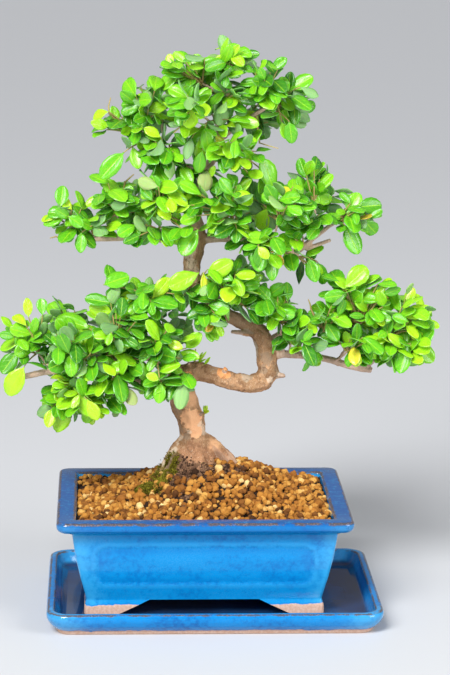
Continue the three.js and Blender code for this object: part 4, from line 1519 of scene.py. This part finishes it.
# Bare twigs that stand out from a spray, each as a line.
TWIGS: dict[str, tuple[tuple[Point, ...], ...]] = {
    "crown_right_tip": (((31, 6, 329), (37, 3, 327.5), (43.7, 0, 326)),),
    "crown_left_low": (((-73, -2, 350), (-73.5, -2, 355), (-72, -2, 361)),),
    "shelf_left_mid": (
        ((-62, 2, 302), (-59, 1, 305), (-56, 2, 307.5)),
        ((-104, 2, 262), (-110, 1, 264), (-114, 0, 263))),
    "low_right_tip": (((132, 0, 197), (136, -1, 197.3), (140, -2, 198.5)),),
    "low_right_root": (((68, 0, 213), (67.5, 0, 216), (66, 0, 220)),),
}

# Lobes that fill a spray out: the middle, then half the width, the depth and the height.
FILLING: dict[str, tuple[Lobe, ...]] = {name: tuple(lobe(*one) for one in lobes) for name, lobes in {
    "crown_top": ((6, -2, 374, 11, 10, 9),),
    "crown_back": ((-4, 26, 362, 27, 12, 18),),
    "shelf_left_back": ((-52, 18, 285, 27, 12, 14),),
    "shelf_right_back": ((42, 18, 284, 28, 12, 15),),
    "waist_back": ((18, 16, 225, 17, 12, 12),),
    "low_left_back": ((-72, 14, 192, 34, 12, 19),),
    "low_right_back": ((94, 18, 203, 26, 12, 15),),
    "crown_left_high": ((-13, -4, 387, 10, 9, 7), (-27, -4, 384, 11, 10, 8)),
    "crown_right_high": ((9, 0, 362, 12, 14, 16), (13, -4, 344, 14, 11, 9)),
    "crown_front_low": ((-8, -8, 332, 12, 12, 18), (-25, -8, 338, 10, 10, 10), (27, -6, 327, 10, 9, 8)),
    "crown_left_low": ((-74, -2, 349, 8, 8, 8),),
    "crown_right_tip": ((51, 0, 338, 8, 8, 9),),
    "crown_left_under": ((-21, -4, 311, 11, 10, 11), (-50, -2, 337, 13, 11, 10)),
    "shelf_right_root": (
        (-13, -14, 288, 13, 12, 16), (10, -14, 273, 18, 12, 9), (-8, -5, 309, 13, 10, 10)),
    "shelf_right_mid": ((27, -4, 306, 11, 10, 9), (56, -4, 266, 11, 10, 8)),
    "shelf_right_high": ((65, 0, 312, 9, 9, 10),),
    "shelf_right_low": ((24, -8, 265, 14, 9, 10),),
    "shelf_left_root": (
        (-19, -16, 263, 9, 8, 11), (-48, -6, 268, 20, 12, 10), (-22, -6, 290, 12, 10, 17)),
    "shelf_left_mid": ((-80, 0, 273, 18, 12, 8),),
    "shelf_right_tip": ((72, -4, 276, 18, 12, 10),),
    "waist_left": ((-20, -8, 222, 13, 12, 10),),
    "waist_mid": ((22, -8, 214, 13, 10, 9), (38, -4, 226, 12, 10, 10), (39, -4, 206, 10, 10, 9)),
    "waist_right": ((50, -4, 222, 10, 9, 9),),
    "waist_low": ((-2, -6, 200, 10, 9, 8),),
    "low_left_under": ((-48, -4, 166, 10, 10, 10),),
    "low_left_root": ((-20, -6, 185, 10, 10, 14),),
    "low_left_drop": (
        (-67, -16, 166, 17, 14, 17), (-96, -12, 158, 14, 12, 13), (-67, -8, 147, 11, 10, 9),
        (-86, -8, 141, 13, 11, 8)),
    "low_left_mid": ((-80, -14, 180, 20, 14, 15), (-55, -8, 178, 13, 11, 11)),
    "low_left_tip": ((-118, -4, 178, 11, 11, 11), (-121, -2, 212, 10, 9, 8)),
    "low_left_high": ((-38, -4, 223, 18, 14, 12),),
    "low_right_root": ((48, -4, 190, 8, 8, 9),),
    "low_right_high": ((121, 0, 189, 13, 12, 17), (118, 0, 228, 10, 10, 8)),
    "low_right_mid": ((96, 4, 228, 18, 14, 12),),
    "low_right_tip": ((149, 0, 211, 8, 8, 8),),
    "low_right_under": ((90, -6, 192, 12, 11, 11),),
    "low_right_front": ((62, -8, 179, 12, 10, 10),),
}.items()}

# Single leaves that stand out: the end of the stalk, the tip, and any tone and breadth of their own.
STRAYS: dict[str, tuple[Stray, ...]] = {name: tuple(stray(*one) for one in strays) for name, strays in {
    "crown_top": (((3.5, 8, 387), (8.5, 6, 401.5), 0.5, 0.45), ((8, 8, 386), (16, 4, 397), 0.62, 0.6)),
    "crown_left_under": (
        ((-63, -8, 324), (-79, -12, 307)), ((-52, -6, 322), (-58, -8, 310)),
        ((-41, -8, 331), (-45, -12, 316))),
    "crown_front_low": (((32, -4, 321), (41, -8, 300)),),
    "crown_right_high": (((38, 6, 379), (49, 6, 388)),),
    "crown_right_tip": (((52, 6, 362), (66, 0, 353)), ((46, 2, 344), (49, -2, 333))),
    "shelf_left_root": (
        ((-12, -18, 272), (-24, -24, 256), 0.3), ((-20, -20, 270), (-22, -25, 251), 0.42)),
    "shelf_left_mid": (((-92, -4, 268), (-93, -8, 254)),),
    "shelf_left_tip": (
        ((-99, 0, 283), (-109, 2, 293), 0.68), ((-100, -2, 282), (-113, -6, 268), 0.66),
        ((-93, -2, 282), (-97, -4, 270)), ((-96, 0, 270), (-103, -2, 261))),
    "shelf_right_tip": (
        ((99, 0, 285), (117, 2, 287)), ((95, -2, 282), (107, -6, 273)), ((91, -2, 272), (100, -6, 253))),
    "shelf_right_drop": (((66, 0, 249), (71, -5, 233)), ((49, 0, 253), (53, -5, 241))),
    "shelf_right_low": (((39, -16, 259), (39, -22, 237)),),
    "waist_left": (((-11, -12, 241), (-32, -18, 232), 0.52), ((-8, -16, 242), (-8, -20, 229), 0.78, 0.6)),
    "waist_mid": (((-5, -12, 239), (12, -14, 249), 0.58),),
    "low_left_tip": (
        ((-132, -14, 175), (-144.5, -16, 155), 0.62), ((-137, -6, 184), (-148, -8, 169)),
        ((-129, -4, 208), (-130, 0, 221))),
    "low_left_hang": (((-113, -4, 143), (-116, -8, 130)),),
    "low_left_under": (
        ((-21.5, -22, 166), (-24.5, -26, 147), 0.5, 0.95, True), ((-37, -20, 165), (-39, -24, 151), 0.35),
        ((-38.5, -26, 168), (-47, -27, 172.5), 0.6), ((-38.5, -27, 170), (-29, -27, 168.5), 0.58)),
    "low_left_high": (((-77, -4, 231), (-59, 2, 236), 0.3),),
    "low_left_mid": (((-72, -14, 220), (-90, -12, 223)),),
    "low_left_root": (((-43, -8, 222), (-31, -4, 236)),),
    "low_right_mid": (((91, -4, 229), (107, 0, 243)),),
    "low_right_tip": (((132, 0, 208), (154, 4, 212)),),
    "low_right_tip_low": (
        ((139, -2, 189), (155, -6, 177)), ((136, -4, 189), (130, -10, 169)),
        ((128, -6, 186), (134, -12, 168)), ((121, -4, 181), (122, -8, 166))),
}.items()}


@dataclass(frozen=True)
class Bud:
    """A tuft of young leaves."""

    place: Vector
    lean: Vector
    count: int
    size: float
    breadth: float


BUDS = (
    Bud(Vector((-5.4, 15.5, 134.2)), Vector((0.4, -0.3, 0.85)), 9, 6.2, 0.5),
    Bud(Vector((-10, 16, 171)), Vector((0.35, -0.2, 0.9)), 7, 9.5, 0.32),
    Bud(Vector((-6, 15, 170)), Vector((0.8, -0.2, 0.2)), 3, 7.5, 0.4),
    Bud(Vector((-6.5, 7, 99)), Vector((0.0, -0.4, 0.9)), 3, 2.8, 0.8),
    Bud(Vector((-24, -14, 87)), Vector((0.1, -0.3, 0.9)), 3, 2.4, 0.8),
)

# A cut-off stump beside the limb, as a line.
STUMP: tuple[Point, ...] = ((-12.3, 17, 167), (-12.6, 17, 173), (-12.2, 17, 177), (-11.9, 17, 181))


@dataclass
class Foliage:
    """Every spray of the tree: shoots that leave the wood, each with its leaves."""

    leaves_for_size: float = 0.156
    leaves_on_shoot: int = 5
    leaves_on_stray: int = 2
    stray_reach: float = 18.0
    length: tuple[float, float, float] = (12.0, 27.5, 18.5)
    oldest_lime: float = 0.66
    turned_over: float = 0.1
    shapes: int = 16
    tries: int = 9
    overgrowth: float = 2.5
    roundness: float = 1.12
    cell: float = 21.0
    margin: float = 1.0
    trunk_plane_y: float = 24.0
    seed: int = 2024
    stem_radius: float = 0.68
    stem_foot: float = 1.25
    stem_taper: float = 0.7
    stem_age: float = 0.42
    # A leaf is brown, lime or yellow where a draw from 0 to 1 falls below these, in that order.
    brown_below: float = 0.004
    lime_below: float = 0.009
    yellow_below: float = 0.014
    brown_age: tuple[float, float] = (0.93, 1.0)
    yellow_age: tuple[float, float] = (0.76, 0.86)
    green_age: tuple[float, float, float] = (-0.08, 0.58, 0.17)
    bud_age: tuple[float, float] = (0.6, 0.74)
    # What makes a leaf's tone younger: its place, the end of its shoot, or chance.
    young_by: float = 0.26
    tip_by: float = 0.16
    fresh_by: float = 0.22
    fresh_share: float = 0.12
    # A leaf's rough outline, for what it would touch.
    coarse: tuple[Point, ...] = (
        (0, 0.05, 0), (-0.26, 0.45, 0.03), (0.26, 0.45, 0.03), (-0.2, 0.8, 0.0), (0.2, 0.8, 0.0),
        (0, 1, -0.04))
    coarse_faces: tuple[tuple[int, int, int], ...] = ((0, 2, 1), (1, 2, 3), (2, 4, 3), (3, 4, 5))
    young: tuple[Place, ...] = rounds(
        (-92, -8, 150, 36), (135, 2, 200, 44), (5, -14, 342, 30), (-30, -4, 288, 26),
        (10, 10, 395, 22), (-112, 0, 275, 26), (-128, 0, 200, 24), (0, -14, 235, 22))
    skin: LeafSkin = field(default_factory=LeafSkin)
    stem: YoungStem = field(default_factory=YoungStem)

    def build(self) -> None:
        """Builds all the sprays: first their stray leaves, then the masses between them."""
        self.rng = random.Random(self.seed)
        self._read_wood()
        low, high = CAD_BOX
        self.low = low / MM + Vector((self.margin,) * 3)
        self.high = high / MM - Vector((self.margin,) * 3)
        self.leaf_shapes = [read_shape(self._leaf_shape()) for _ in range(self.shapes)]
        self.grown: dict[tuple[int, ...], list[BVHTree]] = {}
        materials = [self.skin.make(), self.stem.make()]
        names = sorted(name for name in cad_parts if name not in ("drip_tray", "pot", "soil", "trunk"))
        growths = {name: Growth(self.leaf_shapes) for name in names}
        boxes = {name: [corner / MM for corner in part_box(name)] for name in names}
        for name, strays in STRAYS.items():
            for one in strays:
                self._grow_stray(one, sum(boxes[name], Vector()) / 2, growths[name])
        for name, twigs in TWIGS.items():
            for twig in twigs:
                points = [Vector(point) for point in twig]
                growths[name].stems.append([Vector(self.wood_points.find(points[0])[0]), *points])
        for name, growth in growths.items():
            low, high = boxes[name]
            reach = (high - low) / 2 + Vector((self.overgrowth,) * 3)
            for mass in (Lobe((low + high) / 2, reach), *FILLING.get(name, ())):
                self._grow_lobe(mass, growth)
            mesh = self._with_stems(growth.leaves.mesh(f"{name}_leaves"), growth.stems)
            settle(mesh, f"{name}_leaves", materials, [name])
        self._grow_buds(materials)

    def _read_wood(self) -> None:
        """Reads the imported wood, for the nearest point on it and for what touches it."""
        wood = node_in_mm("trunk")
        self.wood_tree = BVHTree.FromBMesh(wood)
        self.wood_points = KDTree(len(wood.verts))
        for i, vert in enumerate(wood.verts):
            self.wood_points.insert(vert.co, i)
        self.wood_points.balance()

    def _leaf_shape(self) -> bpy.types.Mesh:
        """One leaf a unit long: folded along its midrib, arched, a little waved and closed all round.

        Returns:
            The leaf.
        """
        bm = bmesh.new()
        bm.loops.layers.uv.new("UVMap")
        bmesh.ops.create_grid(bm, x_segments=4, y_segments=7, size=0.5, calc_uvs=True)
        width = self.rng.uniform(0.25, 0.355)
        broadest = self.rng.uniform(0.86, 1.25)
        roundness = self.rng.uniform(0.45, 0.6)
        fold = self.rng.uniform(0.1, 0.32)
        droop = self.rng.uniform(-0.04, 0.2)
        wave = self.rng.uniform(0.0, 0.035)
        turn = self.rng.uniform(-0.25, 0.25)
        phase = self.rng.uniform(0, 6.3)
        for vert in bm.verts:
            across, along = vert.co.x * 2, 0.5 - 0.5 * math.cos((vert.co.y + 0.5) * math.pi)
            blade = max(along - 0.09, 0) / 0.91
            half = width * max(math.sin(math.pi * blade ** broadest), 0.0) ** roundness
            half = max(half, 0.022 if along < 0.5 else 0.0)
            x = across * half
            z = fold * abs(x) - droop * along * along + wave * math.sin(along * 9 + phase) * across
            vert.co = Vector((x, along, z + turn * x * along))
        bmesh.ops.remove_doubles(bm, verts=bm.verts, dist=0.002)
        bmesh.ops.solidify(bm, geom=bm.faces[:], thickness=0.022)
        bmesh.ops.recalc_face_normals(bm, faces=bm.faces)
        mesh = to_mesh(bm, "leaf")
        write_attribute(mesh, "under", np.array([1.0 if v.normal.z < 0 else 0.0 for v in mesh.vertices]))
        return mesh

    def _fits(self, leaf: Leaf, mass: Lobe | None) -> bool:
        """Whether a leaf lies inside the part's box and its lobe and clear of what has grown.

        Args:
            leaf: The leaf. One that fits counts as grown from now on.
            mass: The lobe, or None for a stray leaf.

        Returns:
            Whether it fits.
        """
        place = leaf.matrix()
        points = [place @ Vector(point) for point in self.coarse]
        for point in points:
            if any(not self.low[k] <= point[k] <= self.high[k] for k in range(3)):
                return False
            if mass is not None and (mass.depth(point) > self.roundness or self._in_window(point)):
                return False
        tree = BVHTree.FromPolygons(points, self.coarse_faces)
        cell = tuple(math.floor(c / self.cell) for c in place @ Vector((0, 0.5, 0)))
        for step in itertools.product((-1, 0, 1), repeat=3):
            near = self.grown.get(tuple(c + s for c, s in zip(cell, step)), ())
            if any(tree.overlap(other) for other in near):
                return False
        if tree.overlap(self.wood_tree):
            return False
        self.grown.setdefault(cell, []).append(tree)
        return True

    def _in_window(self, point: Vector) -> bool:
        """Whether a point lies in a gap of the foliage through which the wood shows."""
        return point.y < self.trunk_plane_y and any(
            math.hypot(point.x - x, point.z - z) < reach for x, z, reach in WINDOWS)

    def _age(self, point: Vector, is_tip: bool) -> float:
        """A leaf's tone: dark when old, lime when young, and now and then yellow or brown.

        Args:
            point: The leaf's base.
            is_tip: Whether it ends its shoot.

        Returns:
            The tone, from 0 when old to 1 when brown.
        """
        chance = self.rng.random()
        if chance < self.brown_below:
            return self.rng.uniform(*self.brown_age)
        if chance <= self.lime_below:
            return self.oldest_lime
        if chance < self.yellow_below:
            return self.rng.uniform(*self.yellow_age)
        age = self.rng.triangular(*self.green_age) + nearness(point, self.young) * self.young_by
        if is_tip and self.rng.random() < 0.5:
            age += self.tip_by
        if self.rng.random() < self.fresh_share:
            age += self.fresh_by
        return min(max(age, 0.0), self.oldest_lime)

    def _grow_stray(self, one: Stray, middle: Vector, growth: Growth) -> None:
        """Grows a stray leaf, and the thin shoot with a few smaller leaves that carries it.

        Args:
            one: The stray leaf.
            middle: The middle of its spray; the shoot leaves the wood on that side.
            growth: Takes the leaves and the shoot's line.
        """
        heart = Vector(self.wood_points.find(one.base.lerp(middle, 0.6))[0])
        along = one.tip - one.base
        face = Vector((self.rng.uniform(-0.4, 0.4), -0.9, self.rng.uniform(0.2, 0.8)))
        if one.shows_under:
            face = -face
        breadth = one.breadth * min(1.0, self.length[2] * 1.15 / along.length)
        leaf = Leaf(one.base, along.normalized(), face, along.length, breadth)
        if self._fits(leaf, None):
            age = one.age if one.age is not None else self._age(one.base, True)
            growth.leaves.add(self.rng.randrange(self.shapes), leaf.matrix(), age=age)
        arch = Arch(heart, heart.lerp(one.base, 0.6) + UP * 2, one.base)
        growth.stems.append(arch.line(1))
        around_base = Lobe(one.base, Vector((self.stray_reach,) * 3))
        for i in range(self.leaves_on_stray):
            self._grow_leaf(arch, 0.55 + 0.35 * i / self.leaves_on_stray, i, False, around_base, growth)

    def _grow_lobe(self, mass: Lobe, growth: Growth) -> None:
        """Grows shoots from the nearest wood out to all sides of a lobe.

        Args:
            mass: The lobe.
            growth: Takes the leaves and the shoots' lines.
        """
        heart = Vector(self.wood_points.find(mass.centre)[0])
        size = (mass.reach.x * mass.reach.y * mass.reach.z) ** (2 / 3)
        count = max(3, round(self.leaves_for_size * size / self.leaves_on_shoot))
        roll = self.rng.uniform(0, 2 * math.pi)
        for n in range(count):
            rise = 1 - (n + 0.5) * 2 / count
            ring = math.sqrt(1 - rise * rise)
            angle = roll + n * GOLDEN_ANGLE
            outward = Vector((ring * math.cos(angle), ring * math.sin(angle), rise))
            share = self.rng.uniform(0.35, 0.8)
            target = mass.centre + outward * mass.reach * share
            self._grow_shoot(heart, target, mass, growth)

    def _grow_shoot(self, heart: Vector, target: Vector, mass: Lobe, growth: Growth) -> None:
        """Grows one arched shoot with its leaves, or nothing where no leaf fits.

        Args:
            heart: Where the shoot leaves the wood.
            target: Where it ends.
            mass: The lobe that it fills.
            growth: Takes the leaves and the shoot's line.
        """
        arch = Arch(heart, heart.lerp(target, 0.5) + random_step(self.rng, 2) + UP * 1.5, target)
        last = self.leaves_on_shoot - 1
        reached = 0.0
        for i in range(self.leaves_on_shoot):
            share = 0.34 + 0.66 * i / last
            if self._grow_leaf(arch, share, i, i == last, mass, growth):
                reached = share
        if reached:
            growth.stems.append(arch.line(reached))

    def _grow_leaf(self, arch: Arch, share: float, order: int, is_tip: bool, mass: Lobe,
                   growth: Growth) -> bool:
        """Tries places for one leaf of a shoot and keeps the first that fits.

        Args:
            arch: The shoot's line.
            share: How far along it the leaf sits.
            order: Which of the shoot's leaves it is, from 0.
            is_tip: Whether it ends the shoot.
            mass: The lobe that it has to fit in.
            growth: Takes the leaf.

        Returns:
            Whether a place was found.
        """
        base = arch.point(share)
        tangent = arch.tangent(share)
        ahead, aside = (1.0, 0.15) if is_tip else (0.4, 1.0)
        away = Vector([(base[k] - mass.centre[k]) / mass.reach[k] for k in range(3)])
        side = tangent.orthogonal().normalized()
        side.rotate(Quaternion(tangent, order * GOLDEN_ANGLE + self.rng.uniform(-0.4, 0.4)))
        front = -0.75 if mass.centre.y < self.trunk_plane_y else 0.6
        for attempt in range(self.tries):
            jitter = random_step(self.rng, 0.35 + 0.09 * attempt)
            direction = tangent * ahead + side * aside + away * 0.5 + jitter
            direction.z -= 0.12
            direction.normalize()
            face = away * 0.7 + UP * 0.75 + Vector((0, front, 0)) * self.rng.uniform(0.3, 1.4)
            face += random_step(self.rng, 0.5)
            if abs(face.normalized().dot(direction)) > 0.93:
                continue
            if self.rng.random() < self.turned_over:
                face = -face
            length = self.rng.triangular(*self.length) * (1 - 0.035 * attempt)
            leaf = Leaf(base, direction, face, length)
            if self._fits(leaf, mass):
                shape = self.rng.randrange(self.shapes)
                growth.leaves.add(shape, leaf.matrix(), age=self._age(base, is_tip))
                return True
        return False

    def _grow_buds(self, materials: Sequence[bpy.types.Material]) -> None:
        """Small green buds that break from the bare wood, and seedlings in the soil.

        Args:
            materials: The finishes of leaf and stem.
        """
        growth = Growth(self.leaf_shapes)
        for bud in BUDS:
            for _ in range(bud.count):
                direction = (bud.lean + random_step(self.rng, 0.55)).normalized()
                face = Vector((self.rng.uniform(-0.6, 0.6), -1, 0.4))
                leaf = Leaf(bud.place, direction, face, bud.size * self.rng.uniform(0.7, 1.1), bud.breadth)
                shape = self.rng.randrange(self.shapes)
                growth.leaves.add(shape, leaf.matrix(), age=self.rng.uniform(*self.bud_age))
            growth.stems.append([bud.place + bud.lean * along for along in (-1.5, -0.5, 0.6)])
        growth.stems.append([Vector(point) for point in STUMP])
        mesh = self._with_stems(growth.leaves.mesh("green_buds"), growth.stems)
        settle(mesh, "green_buds", materials)

    def _with_stems(self, mesh: bpy.types.Mesh, stems: Sequence[Sequence[Vector]]) -> bpy.types.Mesh:
        """Joins a spray's shoots to its leaves, as faces of the second material.

        Args:
            mesh: The leaves.
            stems: The shoots' lines.

        Returns:
            The joined mesh.
        """
        curve = bpy.data.curves.new("stems", "CURVE")
        curve.dimensions = "3D"
        curve.bevel_depth = self.stem_radius
        curve.bevel_resolution = 0
        curve.use_fill_caps = True
        for stem in stems:
            spline = curve.splines.new("POLY")
            spline.points.add(len(stem) - 1)
            for i, (point, place) in enumerate(zip(spline.points, stem)):
                point.co = (*place, 1)
                point.radius = self.stem_foot - self.stem_taper * i / (len(stem) - 1)
        holder = put("stems", curve)
        tubes = bpy.data.meshes.new_from_object(holder.evaluated_get(bpy.context.evaluated_depsgraph_get()))
        bpy.data.objects.remove(holder)
        write_attribute(tubes, "age", np.full(len(tubes.vertices), self.stem_age))
        write_attribute(tubes, "under", np.zeros(len(tubes.vertices)))
        bm = bmesh.new()
        bm.from_mesh(mesh)
        leaf_faces = len(bm.faces)
        bm.from_mesh(tubes)
        bm.faces.ensure_lookup_table()
        for face in bm.faces[leaf_faces:]:
            face.material_index = 1
        return to_mesh(bm, mesh.name)


@dataclass
class Studio:
    """The camera, the floor and the lights."""

    eye: Vector = field(default_factory=lambda: Vector((-78.2, -1840.2, 575.1)))
    pitch_deg: float = 11.727
    yaw_deg: float = 2.681
    roll_deg: float = 0.52
    focal_px: float = 2688.0
    long_side_px: float = 675.0
    sensor_mm: float = 36.0
    view_depth: float = 60.0
    floor_half: float = 14.0
    floor_grey: Colour = (0.62, 0.63, 0.65)
    sky: Colour = (0.94, 0.96, 1.0)
    sky_strength: float = 0.3

    def build(self) -> None:
        """Builds all that isn't part of the object."""
        self._camera()
        self._floor()
        self._sun(place=(-0.45, -1.0, 1.15), angle_deg=20, strength=2.4)
        self._softbox("key", place=(-1.0, -1.5, 1.3), target=(0, 0, 0.2), size=0.7, power=28)
        self._softbox("fill", place=(1.5, -1.1, 0.9), target=(0, 0, 0.2), size=1.0, power=23)
        world = bpy.data.worlds.new("studio")
        world.use_nodes = True
        background = world.node_tree.nodes["Background"]
        background.inputs[0].default_value = (*self.sky, 1)
        background.inputs[1].default_value = self.sky_strength
        scene = bpy.context.scene
        scene.world = world
        scene.view_settings.view_transform = "Standard"
        scene.view_settings.look = "None"

    def _camera(self) -> None:
        """Sets the camera where the photograph was taken from."""
        pitch, yaw, roll = (math.radians(a) for a in (self.pitch_deg, self.yaw_deg, self.roll_deg))
        ahead = Vector((math.sin(yaw) * math.cos(pitch), math.cos(yaw) * math.cos(pitch), -math.sin(pitch)))
        right = Vector((math.cos(yaw), -math.sin(yaw), 0))
        up = right.cross(ahead)
        tilted_right = right * math.cos(roll) + up * math.sin(roll)
        tilted_up = up * math.cos(roll) - right * math.sin(roll)
        data = bpy.data.cameras.new("camera")
        data.sensor_width = self.sensor_mm
        data.lens = self.focal_px * self.sensor_mm / self.long_side_px
        data.clip_end = self.view_depth
        camera = put("camera", data)
        turn = Matrix((tilted_right, tilted_up, -ahead)).transposed().to_4x4()
        camera.matrix_world = Matrix.Translation(self.eye * MM) @ turn
        bpy.context.scene.camera = camera

    def _floor(self) -> None:
        """A plain pale floor."""
        bm = bmesh.new()
        bmesh.ops.create_grid(bm, x_segments=1, y_segments=1, size=self.floor_half)
        floor = put("floor", to_mesh(bm, "floor"))
        g = Graph("floor")
        floor.data.materials.append(g.surface({"Base Color": (*self.floor_grey, 1), "Roughness": 0.6}))

    @staticmethod
    def _lamp(data: bpy.types.Light, place: Vector, target: Vector) -> None:
        """Hangs a light up and turns it to a target.

        Args:
            data: The light.
            place: Where it hangs, in metres.
            target: What it points at, in metres.
        """
        light = put(data.name, data)
        light.location = place
        light.rotation_euler = (target - place).to_track_quat("-Z", "Y").to_euler()

    def _sun(self, place: Point, angle_deg: float, strength: float) -> None:
        """A broad even light.

        Args:
            place: The direction that it comes from.
            angle_deg: How broad it is.
            strength: How bright it is.
        """
        data = bpy.data.lights.new("sun", "SUN")
        data.angle = math.radians(angle_deg)
        data.energy = strength
        self._lamp(data, Vector(place), Vector())

    def _softbox(self, name: str, place: Point, target: Point, size: float, power: float) -> None:
        """A square softbox.

        Args:
            name: Its name.
            place: Where it hangs, in metres.
            target: What it points at, in metres.
            size: Its side, in metres.
            power: Its power, in watts.
        """
        data = bpy.data.lights.new(name, "AREA")
        data.size = size
        data.energy = power
        self._lamp(data, Vector(place), Vector(target))


def main() -> None:
    """Builds the studio and every piece."""
    logging.basicConfig(level=logging.INFO, format="%(message)s")
    Studio().build()
    pot = Pot()
    DripTray().build()
    pot.build()
    Wood().build()
    Soil(pot).build()
    Foliage().build()


if __name__ == "__main__":
    main()
